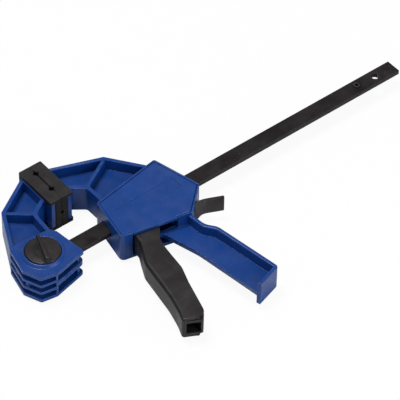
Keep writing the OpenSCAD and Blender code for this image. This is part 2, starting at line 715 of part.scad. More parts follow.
bar();
stop_pin();
fixed_jaw();
fixed_pad();
lock_knob();
lock_pin();
bayonet_pin();
knob_ring();
moving_jaw();
side_cover();
moving_pad();
cover_screws();
trigger_pin();
release_pin();
trigger();
trigger_roller();
drive_plate_front();
drive_plate_rear();
drive_spring();
release_lever();
brake_plate_front();
brake_plate_rear();
brake_spring();
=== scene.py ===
"""Dresses a quick release bar clamp: moulded jaws, rubber pads, trigger, bar, springs and fastenings.

Lengths are in millimetres wherever a name ends in _mm or a dataclass says so, and in metres in Blender.
"""

import logging
import math
from dataclasses import dataclass, field
from enum import Enum
from typing import Callable, Iterable, Optional, Protocol, Sequence

import bmesh
import bpy
from mathutils import Matrix, Vector
from mathutils.geometry import intersect_line_line_2d


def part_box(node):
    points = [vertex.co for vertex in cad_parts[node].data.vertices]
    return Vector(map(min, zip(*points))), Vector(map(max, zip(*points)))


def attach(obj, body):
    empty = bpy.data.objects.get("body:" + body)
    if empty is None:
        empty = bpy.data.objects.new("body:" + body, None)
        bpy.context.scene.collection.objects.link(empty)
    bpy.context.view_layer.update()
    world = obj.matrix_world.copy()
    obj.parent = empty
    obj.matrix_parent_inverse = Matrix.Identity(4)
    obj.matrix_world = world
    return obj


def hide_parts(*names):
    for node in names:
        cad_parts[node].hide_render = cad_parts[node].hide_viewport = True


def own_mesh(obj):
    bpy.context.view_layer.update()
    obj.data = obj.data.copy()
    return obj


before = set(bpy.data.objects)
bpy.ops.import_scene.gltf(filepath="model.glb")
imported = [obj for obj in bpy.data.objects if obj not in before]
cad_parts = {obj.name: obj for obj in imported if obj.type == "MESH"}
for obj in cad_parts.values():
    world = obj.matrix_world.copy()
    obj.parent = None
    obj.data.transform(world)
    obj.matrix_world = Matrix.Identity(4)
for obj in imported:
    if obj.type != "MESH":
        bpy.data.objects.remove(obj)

LOG = logging.getLogger("bar_clamp")
Colour = tuple[float, float, float]
EdgeTest = Callable[[Vector, Vector], bool]
CornerTest = Callable[[Vector], bool]

MM = 0.001
MID_Z_MM = 15.8  # Height of the bar's middle
SEAM_MM = 0.002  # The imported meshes' corners are one where they lie nearer than this
WELD_MM = 0.01  # The same after a cut
FLAT = math.radians(0.4)  # Faces that meet at less are one flat face
STEEPEST_TURN = 2.6  # Sharper corners count as this one, in radians
TURNED_BACK = 2.1  # The turn by which an outline comes back towards an edge, in radians
EDGE_SHARE = 0.9  # How much of an edge its corners' roundings may take up
GAP_SHARE = 0.47  # How much of the way to a facing edge a rounding may take up
LEAST_ROUND_MM = 0.02  # A narrower rounding is left out
CROSSING_REACH_MM = 0.8  # Within this of a crossing, roundings are halved
ROUNDING_TRIES = 9


# --- Shader trees --------------------------------------------------------------------------------


class Wiring:
    """Adds and joins nodes in one node tree."""

    def __init__(self, tree: bpy.types.NodeTree) -> None:
        """Starts wiring an empty tree.

        Args:
            tree: The node tree to fill.
        """
        self.tree = tree
        self.tree.nodes.clear()

    def add(self, kind: str, **settings: object) -> bpy.types.Node:
        """Adds a node.

        Args:
            kind: Blender's name for the node's type, without its ShaderNode prefix.
            settings: Properties to set on the node.

        Returns:
            The new node.
        """
        prefix = "" if kind.startswith("NodeGroup") else "ShaderNode"
        node = self.tree.nodes.new(prefix + kind)
        for name, value in settings.items():
            setattr(node, name, value)
        return node

    def put(self, value: object, socket: bpy.types.NodeSocket) -> None:
        """Feeds a socket from another socket, or sets it to a plain value.

        Args:
            value: A socket, or a number, colour or vector.
            socket: The input to feed.
        """
        if isinstance(value, bpy.types.NodeSocket):
            self.tree.links.new(value, socket)
        elif isinstance(value, tuple) and socket.type == "RGBA" and len(value) == 3:
            socket.default_value = (*value, 1.0)
        else:
            socket.default_value = value

    def math(self, operation: str, *values: object, clamp: bool = False) -> bpy.types.NodeSocket:
        """Does a sum on numbers.

        Args:
            operation: The Math node's operation.
            values: Its inputs, in order.
            clamp: Whether the result is kept between 0 and 1.

        Returns:
            The result's socket.
        """
        node = self.add("Math", operation=operation, use_clamp=clamp)
        for socket, value in zip(node.inputs, values):
            self.put(value, socket)
        return node.outputs[0]

    def product(self, *values: object) -> bpy.types.NodeSocket:
        """Multiplies masks.

        Args:
            values: Two or more masks, as sockets or numbers.

        Returns:
            The result's socket.
        """
        result, *others = values
        for other in others:
            result = self.math("MULTIPLY", result, other, clamp=True)
        return result

    def split(self, vector: bpy.types.NodeSocket) -> bpy.types.NodeOutputs:
        """Splits a vector.

        Args:
            vector: The vector's socket.

        Returns:
            Outputs named X, Y and Z.
        """
        node = self.add("SeparateXYZ")
        self.put(vector, node.inputs[0])
        return node.outputs

    def vector(self, operation: str, *values: object) -> bpy.types.Node:
        """Does a sum on vectors.

        Args:
            operation: The Vector Math node's operation.
            values: Its inputs, in order.

        Returns:
            The node, whose outputs differ by operation.
        """
        node = self.add("VectorMath", operation=operation)
        for socket, value in zip(node.inputs, values):
            self.put(value, socket)
        return node

    def mix(self, share: object, first: object, second: object) -> bpy.types.NodeSocket:
        """Mixes two colours.

        Args:
            share: How much of the second colour shows.
            first: The first colour.
            second: The second colour.

        Returns:
            The mixed colour's socket.
        """
        node = self.add("Mix", data_type="RGBA", blend_type="MIX", clamp_factor=True)
        self.put(share, node.inputs["Factor"])
        colours = [s for s in node.inputs if s.type == "RGBA"]
        self.put(first, colours[0])
        self.put(second, colours[1])
        return next(s for s in node.outputs if s.type == "RGBA")

    def blend(self, share: object, first: bpy.types.Node, second: bpy.types.Node) -> bpy.types.NodeSocket:
        """Mixes two shaders.

        Args:
            share: How much of the second shader shows.
            first: The first shader's node.
            second: The second shader's node.

        Returns:
            The mixed shader's socket.
        """
        node = self.add("MixShader")
        for socket, value in zip(node.inputs, (share, first.outputs[0], second.outputs[0])):
            self.put(value, socket)
        return node.outputs[0]

    def between(self, value: object, low: float, high: float, out: tuple[float, float] = (0.0, 1.0),
                smooth: bool = False) -> bpy.types.NodeSocket:
        """Maps a range of values onto another, and clamps it there.

        Args:
            value: The value to map.
            low: The value that gives the first end.
            high: The value that gives the second end.
            out: The two ends.
            smooth: Whether the step between them is soft.

        Returns:
            The mapped value's socket.
        """
        node = self.add("MapRange", clamp=True)
        if smooth:
            node.interpolation_type = "SMOOTHSTEP"
        for name, given in (("Value", value), ("From Min", low), ("From Max", high),
                            ("To Min", out[0]), ("To Max", out[1])):
            self.put(given, node.inputs[name])
        return node.outputs[0]

    def place(self) -> bpy.types.NodeSocket:
        """The point's place on its own object, in metres."""
        return self.add("TexCoord").outputs["Object"]

    def noise(self, place: object, scale: object, detail: float = 3.0, rough: float = 0.55,
              warp: float = 0.0) -> bpy.types.NodeSocket:
        """A noise value between 0 and 1.

        Args:
            place: Where the noise is read.
            scale: Waves in a metre.
            detail: How many finer layers it has.
            rough: How strong the finer layers are.
            warp: How much it is distorted.

        Returns:
            The noise's socket.
        """
        node = self.add("TexNoise")
        for name, given in (("Vector", place), ("Scale", scale), ("Detail", detail),
                            ("Roughness", rough), ("Distortion", warp)):
            self.put(given, node.inputs[name])
        return node.outputs["Fac"]

    def group(self, made: bpy.types.NodeTree, **values: object) -> bpy.types.Node:
        """Places a node group with its own values.

        Args:
            made: The group.
            values: Its inputs; an underscore in a name stands for a space.

        Returns:
            The group's node.
        """
        node = self.add("Group")
        node.node_tree = made
        for name, value in values.items():
            self.put(value, node.inputs[name.replace("_", " ")])
        return node


class Effect(Enum):
    """A surface effect that several finishes share."""

    EDGE_WEAR_AND_HIGHLIGHT = "edge_wear"
    GRAIN = "moulded_grain"
    DUST = "dust"
    BRUSHING = "brushing"
    FLECKS = "flecks"


@dataclass
class EffectShelf:
    """Builds each shared effect once, as a node group.

    Attributes:
        made: The groups built so far.
    """

    made: dict[Effect, bpy.types.NodeTree] = field(default_factory=dict)

    def get(self, effect: Effect) -> bpy.types.NodeTree:
        """Gives an effect's node group, and builds it the first time.

        Args:
            effect: The effect wanted.

        Returns:
            Its node group.
        """
        if effect not in self.made:
            builders = {
                Effect.EDGE_WEAR_AND_HIGHLIGHT: self._edge_wear_and_highlight,
                Effect.GRAIN: self._grain,
                Effect.DUST: self._dust,
                Effect.BRUSHING: self._brushing,
                Effect.FLECKS: self._flecks,
            }
            self.made[effect] = builders[effect]()
            self.made[effect].name = effect.value
        return self.made[effect]

    @staticmethod
    def _open(inputs: dict[str, float], outputs: Sequence[str]) -> tuple[
            Wiring, bpy.types.Node, bpy.types.Node]:
        """Starts a group with number sockets.

        Args:
            inputs: Each input's name and usual value.
            outputs: The outputs' names.

        Returns:
            The wiring, the group's input node and its output node.
        """
        tree = bpy.data.node_groups.new("effect", "ShaderNodeTree")
        for label, usual in inputs.items():
            socket = tree.interface.new_socket(label, in_out="INPUT", socket_type="NodeSocketFloat")
            socket.default_value = usual
        for label in outputs:
            tree.interface.new_socket(label, in_out="OUTPUT", socket_type="NodeSocketFloat")
        wiring = Wiring(tree)
        return wiring, wiring.add("NodeGroupInput"), wiring.add("NodeGroupOutput")

    def _edge_wear_and_highlight(self) -> bpy.types.NodeTree:
        """A mask of outer edges, broken up by noise: rubbed wear, and in moulded plastics also a painted
        highlight.
        """
        w, given, out = self._open({"Reach": 0.0006, "Amount": 1.0, "Breakup": 700.0}, ["Mask"])
        soft = w.add("Bevel", samples=6)
        w.put(given.outputs["Reach"], soft.inputs["Radius"])
        flat = w.add("NewGeometry").outputs["True Normal"]
        facing = w.vector("DOT_PRODUCT", soft.outputs[0], flat).outputs["Value"]
        open_sky = w.add("AmbientOcclusion", samples=6)
        w.put(w.math("MULTIPLY", given.outputs["Reach"], 2.5), open_sky.inputs["Distance"])
        outer = w.between(open_sky.outputs["AO"], 0.8, 0.97)
        chips = w.noise(w.place(), given.outputs["Breakup"], 4.0, 0.7)
        patchy = w.between(chips, 0.36, 0.62, smooth=True)
        mask = w.product(w.between(facing, 0.995, 0.86), outer, patchy, given.outputs["Amount"])
        w.put(mask, out.inputs["Mask"])
        return w.tree

    def _grain(self) -> bpy.types.NodeTree:
        """The fine spark-eroded texture of a mould, with slow changes of tone."""
        w, given, out = self._open({"Scale": 2200.0, "Drift": 45.0}, ["Height", "Tone"])
        at = w.place()
        fine = w.noise(at, given.outputs["Scale"], 2.0, 0.6)
        cells = w.add("TexVoronoi", feature="F1")
        w.put(at, cells.inputs["Vector"])
        w.put(w.math("MULTIPLY", given.outputs["Scale"], 0.8), cells.inputs["Scale"])
        walls = w.math("MULTIPLY", cells.outputs["Distance"], 0.4)
        w.put(w.math("ADD", w.math("MULTIPLY", fine, 0.7), walls), out.inputs["Height"])
        w.put(w.noise(at, given.outputs["Drift"], 4.0, 0.55, 0.6), out.inputs["Tone"])
        return w.tree

    def _dust(self) -> bpy.types.NodeTree:
        """A mask of thin dust, which lies on faces that look up or down and gathers in patches."""
        w, given, out = self._open({"Amount": 0.3, "Patch": 60.0}, ["Mask"])
        upright = w.split(w.add("NewGeometry").outputs["Normal"])["Z"]
        level = w.between(w.math("ABSOLUTE", upright), 0.3, 0.95)
        patch = w.between(w.noise(w.place(), given.outputs["Patch"], 5.0, 0.65), 0.35, 0.75, smooth=True)
        w.put(w.product(level, patch, given.outputs["Amount"]), out.inputs["Mask"])
        return w.tree

    def _brushing(self) -> bpy.types.NodeTree:
        """Fine drawn lines along x, as height and tone."""
        w, given, out = self._open({"Scale": 1800.0, "Stretch": 0.03}, ["Height", "Tone"])
        squeeze = w.add("CombineXYZ")
        for axis, share in zip("XYZ", (given.outputs["Stretch"], 1.0, 1.0)):
            w.put(share, squeeze.inputs[axis])
        at = w.vector("MULTIPLY", w.place(), squeeze.outputs[0]).outputs["Vector"]
        lines = w.noise(at, given.outputs["Scale"], 3.0, 0.7)
        w.put(lines, out.inputs["Height"])
        w.put(w.noise(at, w.math("MULTIPLY", given.outputs["Scale"], 0.35), 3.0, 0.6), out.inputs["Tone"])
        return w.tree

    def _flecks(self) -> bpy.types.NodeTree:
        """A mask of small bright flecks where a dark coating has chipped."""
        w, given, out = self._open({"Scale": 900.0, "Share": 0.12}, ["Mask"])
        at = w.place()
        spots = w.add("TexVoronoi", feature="F1")
        w.put(at, spots.inputs["Vector"])
        w.put(given.outputs["Scale"], spots.inputs["Scale"])
        size = w.math("MULTIPLY", w.noise(at, w.math("MULTIPLY", given.outputs["Scale"], 0.11), 3.0, 0.6),
                      w.math("MULTIPLY", given.outputs["Share"], 2.6))
        w.put(w.between(w.math("SUBTRACT", size, spots.outputs["Distance"]), 0.0, 0.06), out.inputs["Mask"])
        return w.tree


EFFECTS = EffectShelf()


# --- Finishes ------------------------------------------------------------------------------------


class Finish(Protocol):
    """What every finish has: a name and a material."""

    name: str

    def build(self) -> bpy.types.Material:
        """Makes the material."""


def open_material(name: str) -> tuple[Wiring, bpy.types.Node, bpy.types.Material]:
    """Starts a material with one Principled shader.

    Args:
        name: The material's name.

    Returns:
        Its wiring, its shader and the material.
    """
    material = bpy.data.materials.new(name)
    material.use_nodes = True
    wiring = Wiring(material.node_tree)
    shader = wiring.add("BsdfPrincipled")
    output = wiring.add("OutputMaterial")
    wiring.put(shader.outputs["BSDF"], output.inputs["Surface"])
    return wiring, shader, material


def bumped(wiring: Wiring, shader: bpy.types.Node, height: bpy.types.NodeSocket, depth_mm: float) -> None:
    """Lets a height give the shader its fine relief.

    Args:
        wiring: The material's wiring.
        shader: The shader to feed.
        height: The height, from 0 to 1.
        depth_mm: How deep the relief is.
    """
    bump = wiring.add("Bump")
    bump.inputs["Strength"].default_value = 1.0
    bump.inputs["Distance"].default_value = depth_mm * MM
    wiring.put(height, bump.inputs["Height"])
    wiring.put(bump.outputs["Normal"], shader.inputs["Normal"])


@dataclass(frozen=True)
class MouldedPlastic:
    """A hard moulded plastic with a satin grain.

    Attributes:
        name: The material's name.
        colour: Its main colour.
        deep: Its darker tone, in slow drifts.
        worn_and_highlit: The tone of rubbed edges, lighter so that it is also a painted highlight along the
            rims.
        roughness: Lowest and highest roughness.
        grain_mm: Size of the moulded grain.
        relief_mm: Depth of the grain.
        wear: How strongly edges are rubbed and given their painted highlight.
        wear_mm: How far from an edge it is rubbed and given its painted highlight.
        dust: How much dust lies on level faces.
        dusty: The dust's tone.
        specular: The shader's specular level.
        painted_shade: Tone of painted shade on the band where an edge is rounded towards the front left,
            which stands in for a dark reflection, if it has one.
    """

    name: str
    colour: Colour
    deep: Colour
    worn_and_highlit: Colour
    roughness: tuple[float, float] = (0.28, 0.36)
    grain_mm: float = 0.45
    relief_mm: float = 0.02
    wear: float = 0.55
    wear_mm: float = 0.9
    dust: float = 0.05
    dusty: Colour = (0.32, 0.31, 0.3)
    specular: float = 0.4
    painted_shade: Optional[Colour] = None

    def build(self) -> bpy.types.Material:
        """Makes the material.

        Returns:
            The material.
        """
        w, shader, material = open_material(self.name)
        grain = w.group(EFFECTS.get(Effect.GRAIN), Scale=1.0 / (self.grain_mm * MM), Drift=38.0)
        wear = w.group(EFFECTS.get(Effect.EDGE_WEAR_AND_HIGHLIGHT), Reach=self.wear_mm * MM, Amount=self.wear,
                       Breakup=420.0)
        dust = w.group(EFFECTS.get(Effect.DUST), Amount=self.dust, Patch=55.0)
        tone = w.between(grain.outputs["Tone"], 0.3, 0.7)
        colour = w.mix(tone, self.deep, self.colour)
        # Painted shade: slopes that lean towards the front left are darkened in place of a dark reflection
        if self.painted_shade:
            facing = w.split(w.add("TexCoord").outputs["Normal"])
            lean = w.math("ABSOLUTE", facing["Z"])
            band = w.product(w.between(lean, 0.08, 0.3), w.between(lean, 0.985, 0.9),
                             w.between(facing["X"], -0.15, -0.4), w.between(facing["Y"], -0.75, -0.55))
            colour = w.mix(band, colour, self.painted_shade)
        # Outer edges take the lighter tone: rubbed wear, and partly a painted highlight
        colour = w.mix(wear.outputs["Mask"], colour, self.worn_and_highlit)
        colour = w.mix(dust.outputs["Mask"], colour, self.dusty)
        w.put(colour, shader.inputs["Base Color"])
        w.put(w.between(grain.outputs["Tone"], 0.3, 0.7, self.roughness), shader.inputs["Roughness"])
        shader.inputs["Specular IOR Level"].default_value = self.specular
        bumped(w, shader, grain.outputs["Height"], self.relief_mm)
        return material


@dataclass(frozen=True)
class Rubber:
    """A dull moulded rubber.

    Attributes:
        name: The material's name.
        colour: Its main colour.
        rubbed: The greyer tone of handled places.
        dusty: The tone of dust on it.
        roughness: Lowest and highest roughness.
        wear_mm: How far from an edge it is rubbed.
        relief_mm: Depth of its texture.
    """

    name: str
    colour: Colour
    rubbed: Colour
    dusty: Colour = (0.2, 0.19, 0.18)
    roughness: tuple[float, float] = (0.6, 0.8)
    wear_mm: float = 1.0
    relief_mm: float = 0.05

    def build(self) -> bpy.types.Material:
        """Makes the material.

        Returns:
            The material.
        """
        w, shader, material = open_material(self.name)
        grain = w.group(EFFECTS.get(Effect.GRAIN), Scale=1400.0, Drift=90.0)
        wear = w.group(EFFECTS.get(Effect.EDGE_WEAR_AND_HIGHLIGHT), Reach=self.wear_mm * MM, Amount=0.6, Breakup=500.0)
        dust = w.group(EFFECTS.get(Effect.DUST), Amount=0.08, Patch=120.0)
        handled = w.between(grain.outputs["Tone"], 0.5, 0.8, (0.0, 0.4))
        colour = w.mix(w.math("MAXIMUM", wear.outputs["Mask"], handled), self.colour, self.rubbed)
        colour = w.mix(dust.outputs["Mask"], colour, self.dusty)
        w.put(colour, shader.inputs["Base Color"])
        w.put(w.between(grain.outputs["Tone"], 0.3, 0.7, self.roughness), shader.inputs["Roughness"])
        shader.inputs["Specular IOR Level"].default_value = 0.35
        bumped(w, shader, grain.outputs["Height"], self.relief_mm)
        return material


@dataclass(frozen=True)
class BareSteel:
    """Drawn, ground or plated steel.

    Attributes:
        name: The material's name.
        colour: The metal's colour.
        stained: The tone of its darker streaks.
        roughness: Lowest and highest roughness.
        lines_mm: Spacing of the drawn lines.
        relief_mm: Depth of the lines.
        wear_mm: How far from an edge it is polished.
    """

    name: str
    colour: Colour
    stained: Colour
    roughness: tuple[float, float] = (0.22, 0.42)
    lines_mm: float = 0.4
    relief_mm: float = 0.008
    wear_mm: float = 0.3

    def build(self) -> bpy.types.Material:
        """Makes the material.

        Returns:
            The material.
        """
        w, shader, material = open_material(self.name)
        lines = w.group(EFFECTS.get(Effect.BRUSHING), Scale=1.0 / (self.lines_mm * MM), Stretch=0.06)
        wear = w.group(EFFECTS.get(Effect.EDGE_WEAR_AND_HIGHLIGHT), Reach=self.wear_mm * MM, Amount=0.5, Breakup=900.0)
        colour = w.mix(w.between(lines.outputs["Tone"], 0.35, 0.65), self.stained, self.colour)
        polished = tuple(min(1.0, 1.25 * part) for part in self.colour)
        colour = w.mix(wear.outputs["Mask"], colour, polished)
        w.put(colour, shader.inputs["Base Color"])
        w.put(w.between(lines.outputs["Tone"], 0.3, 0.7, self.roughness), shader.inputs["Roughness"])
        shader.inputs["Metallic"].default_value = 1.0
        bumped(w, shader, lines.outputs["Height"], self.relief_mm)
        return material


@dataclass(frozen=True)
class BlackedSteel:
    """Steel under a black oxide, which is chipped along its edges.

    Attributes:
        name: The material's name.
        coating: The oxide's colour.
        faded: The oxide's greyer tone.
        bare: The colour of the steel that shows through.
        dusty: The tone of dust on it.
        roughness: Lowest and highest roughness.
        chips: How much of the edges has chipped.
        chip_mm: How far from an edge it has chipped.
        relief_mm: Depth of its texture.
        sawn: Tone of faces that look along the bar, if it was cut to length there.
    """

    name: str
    coating: Colour
    faded: Colour
    bare: Colour = (0.32, 0.31, 0.3)
    dusty: Colour = (0.25, 0.24, 0.23)
    roughness: tuple[float, float] = (0.34, 0.56)
    chips: float = 0.7
    chip_mm: float = 0.6
    relief_mm: float = 0.03
    sawn: Optional[Colour] = None

    def build(self) -> bpy.types.Material:
        """Makes the material.

        Returns:
            The material.
        """
        w, shader, material = open_material(self.name)
        lines = w.group(EFFECTS.get(Effect.BRUSHING), Scale=1500.0, Stretch=0.05)
        grain = w.group(EFFECTS.get(Effect.GRAIN), Scale=1600.0, Drift=70.0)
        wear = w.group(EFFECTS.get(Effect.EDGE_WEAR_AND_HIGHLIGHT), Reach=self.chip_mm * MM, Amount=self.chips,
                       Breakup=800.0)
        flecks = w.group(EFFECTS.get(Effect.FLECKS), Scale=380.0, Share=0.07)
        dust = w.group(EFFECTS.get(Effect.DUST), Amount=0.05, Patch=40.0)
        colour = w.mix(w.between(grain.outputs["Tone"], 0.35, 0.7), self.coating, self.faded)
        colour = w.mix(w.between(lines.outputs["Tone"], 0.55, 0.8, (0.0, 0.35)), colour, self.faded)
        if self.sawn:
            endwise = w.math("ABSOLUTE", w.split(w.add("TexCoord").outputs["Normal"])["X"])
            colour = w.mix(w.between(endwise, 0.97, 0.99), colour, self.sawn)
        bare = w.math("MAXIMUM", wear.outputs["Mask"], w.product(flecks.outputs["Mask"], 0.5))
        colour = w.mix(bare, colour, self.bare)
        colour = w.mix(dust.outputs["Mask"], colour, self.dusty)
        w.put(colour, shader.inputs["Base Color"])
        w.put(w.between(bare, 0.0, 1.0, (0.15, 0.9)), shader.inputs["Metallic"])
        w.put(w.between(grain.outputs["Tone"], 0.3, 0.7, self.roughness), shader.inputs["Roughness"])
        shader.inputs["Specular IOR Level"].default_value = 0.25
        height = w.math("ADD", w.math("MULTIPLY", grain.outputs["Height"], 0.6),
                        w.math("MULTIPLY", lines.outputs["Height"], 0.4))
        bumped(w, shader, height, self.relief_mm)
        return material


# A moulded plastic's third colour tones its outer edges: rubbed wear, and partly a painted highlight
BODY_BLUE = MouldedPlastic(
    "body_blue", (0.003, 0.044, 0.228), (0.002, 0.037, 0.198), (0.05, 0.14, 0.42), wear=0.7)
COVER_BLUE = MouldedPlastic(
    "cover_blue", (0.0032, 0.046, 0.234), (0.0025, 0.04, 0.21), (0.045, 0.13, 0.4),
    roughness=(0.3, 0.38), wear=0.7)
# Its last colour is painted shade on the front left slopes of its rounded edges
TRIGGER_BLACK = MouldedPlastic(
    "trigger_black", (0.0128, 0.0092, 0.011), (0.0095, 0.0068, 0.008), (0.045, 0.042, 0.042),
    roughness=(0.36, 0.46), grain_mm=0.6, relief_mm=0.035, wear=0.3, painted_shade=(0.003, 0.003, 0.003))
LEVER_BLACK = MouldedPlastic(
    "lever_black", (0.018, 0.0145, 0.0155), (0.014, 0.011, 0.012), (0.045, 0.043, 0.043),
    roughness=(0.3, 0.42), wear=0.35)
# Its last colour is painted shade on the front left flank of its fin and the left of its disc's rim
KNOB_BLACK = MouldedPlastic(
    "knob_black", (0.0155, 0.0098, 0.0112), (0.011, 0.0072, 0.0082), (0.05, 0.046, 0.044),
    roughness=(0.32, 0.44), wear=0.4, painted_shade=(0.002, 0.002, 0.002))
PAD_BLACK = Rubber("pad_black", (0.0092, 0.0072, 0.0078), (0.026, 0.023, 0.023))
RING_BLACK = Rubber("ring_black", (0.008, 0.008, 0.008), (0.03, 0.03, 0.03), relief_mm=0.01)
BAR_BLACK = BlackedSteel(
    "bar_black", (0.008, 0.0059, 0.0062), (0.015, 0.0122, 0.0128), sawn=(0.16, 0.14, 0.11))
PIN_DARK = BlackedSteel("pin_dark", (0.014, 0.014, 0.014), (0.04, 0.039, 0.038), chips=0.9)
PIN_STEEL = BareSteel("pin_steel_ground", (0.56, 0.57, 0.58), (0.36, 0.36, 0.37))
SCREW_ZINC = BareSteel(
    "screw_zinc", (0.5, 0.51, 0.53), (0.33, 0.33, 0.35), roughness=(0.3, 0.48), lines_mm=0.7)
PLATE_STEEL = BareSteel("plate_hardened", (0.2, 0.195, 0.19), (0.1, 0.1, 0.1), roughness=(0.34, 0.55))
SPRING_STEEL = BareSteel(
    "spring_wire", (0.5, 0.5, 0.5), (0.3, 0.3, 0.31), roughness=(0.2, 0.36), lines_mm=0.25)


# --- Meshes --------------------------------------------------------------------------------------


def every_edge(middle: Vector, along: Vector) -> bool:
    """Picks every edge."""
    return True


@dataclass(frozen=True)
class EdgeRound:
    """A radius for the edges that a test picks.

    Attributes:
        radius_mm: The radius.
        picks: Takes an edge's middle and direction, in millimetres, and says whether it is one of them.
    """

    radius_mm: float
    picks: EdgeTest = every_edge


def evaluated_mesh(piece: bpy.types.Object, name: str) -> bpy.types.Mesh:
    """Gives a piece's mesh with its modifiers applied.

    Args:
        piece: The object.
        name: The new mesh's name.

    Returns:
        A new mesh.
    """
    graph = bpy.context.evaluated_depsgraph_get()
    mesh = bpy.data.meshes.new_from_object(piece.evaluated_get(graph), depsgraph=graph)
    mesh.name = name
    return mesh


def show(name: str, mesh: bpy.types.Mesh) -> bpy.types.Object:
    """Links a mesh to the scene as an object.

    Args:
        name: The object's name.
        mesh: Its mesh.

    Returns:
        The object.
    """
    piece = bpy.data.objects.new(name, mesh)
    bpy.context.scene.collection.objects.link(piece)
    return piece


def show_solid(name: str, solid: bmesh.types.BMesh) -> bpy.types.Object:
    """Links a solid to the scene as an object.

    Args:
        name: The object's name.
        solid: The solid, which is used up.

    Returns:
        The object.
    """
    mesh = bpy.data.meshes.new(name)
    solid.to_mesh(mesh)
    solid.free()
    return show(name, mesh)


def turning(face: bmesh.types.BMFace, i: int) -> float:
    """How far a face's outline turns at a corner.

    Args:
        face: The face.
        i: The corner's number.

    Returns:
        The turn in radians, which is negative for an inward bend.
    """
    loops = face.loops
    before = (loops[i].vert.co - loops[i - 1].vert.co).normalized()
    after = (loops[(i + 1) % len(loops)].vert.co - loops[i].vert.co).normalized()
    return math.atan2(before.cross(after).dot(face.normal), before.dot(after))


def room_beside(edge: bmesh.types.BMEdge, turns: dict[int, list[float]]) -> float:
    """Finds how wide a rounding an edge has room for on its two faces.

    Args:
        edge: The edge.
        turns: Each face's turning at its corners, by the face's number.

    Returns:
        The widest rounding, in metres.
    """
    room = math.inf
    for loop in edge.link_loops:
        face = loop.face
        count = len(face.loops)
        at = next(i for i, other in enumerate(face.loops) if other == loop)
        turn = turns[face.index]
        start, end = loop.vert.co, loop.link_loop_next.vert.co
        length = (end - start).length
        beside = ((at, loop.link_loop_prev.edge), (at + 1, loop.link_loop_next.edge))
        corners = sum(math.tan(min(max(turn[i % count], 0.0), STEEPEST_TURN) / 2) for i, other in beside
                      if other.calc_face_angle(0.0) > FLAT)
        if corners > 1e-6:
            room = min(room, EDGE_SHARE * length / corners)
        along = (end - start) / max(length, 1e-9)
        # The rounding could run into whatever lies past the place where the outline has turned back
        tested: set[int] = set()
        for step in (1, -1):
            total = 0.0
            for k in range(1, count - 1):
                i = (at + k if step > 0 else at + 1 - k) % count
                total += turn[i]
                if abs(total) > TURNED_BACK:
                    tested.update((i + step * n) % count for n in range(1, count - k))
                    break
        for i in tested - {at, (at + 1) % count}:
            point = face.loops[i].vert.co
            share = min(max((point - start).dot(along), 0.0), length)
            room = min(room, GAP_SHARE * (point - start - along * share).length)
    return room


def crossings(mesh: bpy.types.Mesh) -> list[Vector]:
    """Finds where the outlines of a mesh's faces cross themselves.

    Args:
        mesh: The mesh.

    Returns:
        The places, in metres.
    """
    mesh.calc_loop_triangles()
    covered = [0.0] * len(mesh.polygons)
    for triangle in mesh.loop_triangles:
        covered[triangle.polygon_index] += triangle.area
    found: list[Vector] = []
    for face in mesh.polygons:
        # The triangles of a face that crosses itself cover more than its area
        if len(face.vertices) < 5 or covered[face.index] < 1.0005 * face.area + 1e-10:
            continue
        points = [mesh.vertices[i].co for i in face.vertices]
        flat = max(range(3), key=lambda k: abs(face.normal[k]))
        drawn = [Vector([c for k, c in enumerate(point) if k != flat]) for point in points]
        count = len(drawn)
        for i in range(count):
            for j in range(i + 2, count):
                if (j + 1) % count == i:
                    continue
                if intersect_line_line_2d(drawn[i], drawn[i + 1], drawn[j], drawn[(j + 1) % count]):
                    found += [points[i], points[i + 1], points[j], points[(j + 1) % count]]
    return found


def near(edge: bmesh.types.BMEdge, places: Sequence[Vector], reach: float) -> bool:
    """Says whether an edge passes near any of some places.

    Args:
        edge: The edge.
        places: The places, in metres.
        reach: How near counts, in metres.

    Returns:
        Whether it does.
    """
    start, end = (v.co for v in edge.verts)
    along = end - start
    size = max(along.length_squared, 1e-18)
    for place in places:
        share = min(max((place - start).dot(along) / size, 0.0), 1.0)
        if (place - start - along * share).length < reach:
            return True
    return False


def bevelled(name: str, sharp: bmesh.types.BMesh, width: float, segments: int) -> bpy.types.Mesh:
    """Rounds a mesh's edges by their weights, and smooths its shading.

    Args:
        name: The new mesh's name.
        sharp: The hard-edged mesh.
        width: The rounding of an edge whose weight is 1, in metres.
        segments: Faces across a rounded edge.

    Returns:
        A new mesh.
    """
    mesh = bpy.data.meshes.new(name)
    sharp.to_mesh(mesh)
    for polygon in mesh.polygons:
        polygon.use_smooth = True
    carrier = show(name + "_sharp", mesh)
    bevel = carrier.modifiers.new("rounded", "BEVEL")
    bevel.limit_method = "WEIGHT"
    bevel.width = width
    bevel.segments = segments
    bevel.use_clamp_overlap = False
    bevel.loop_slide = False
    shade = carrier.modifiers.new("shaded", "WEIGHTED_NORMAL")
    shade.weight = 60
    shade.keep_sharp = True
    made = evaluated_mesh(carrier, name)
    bpy.data.objects.remove(carrier)
    return made


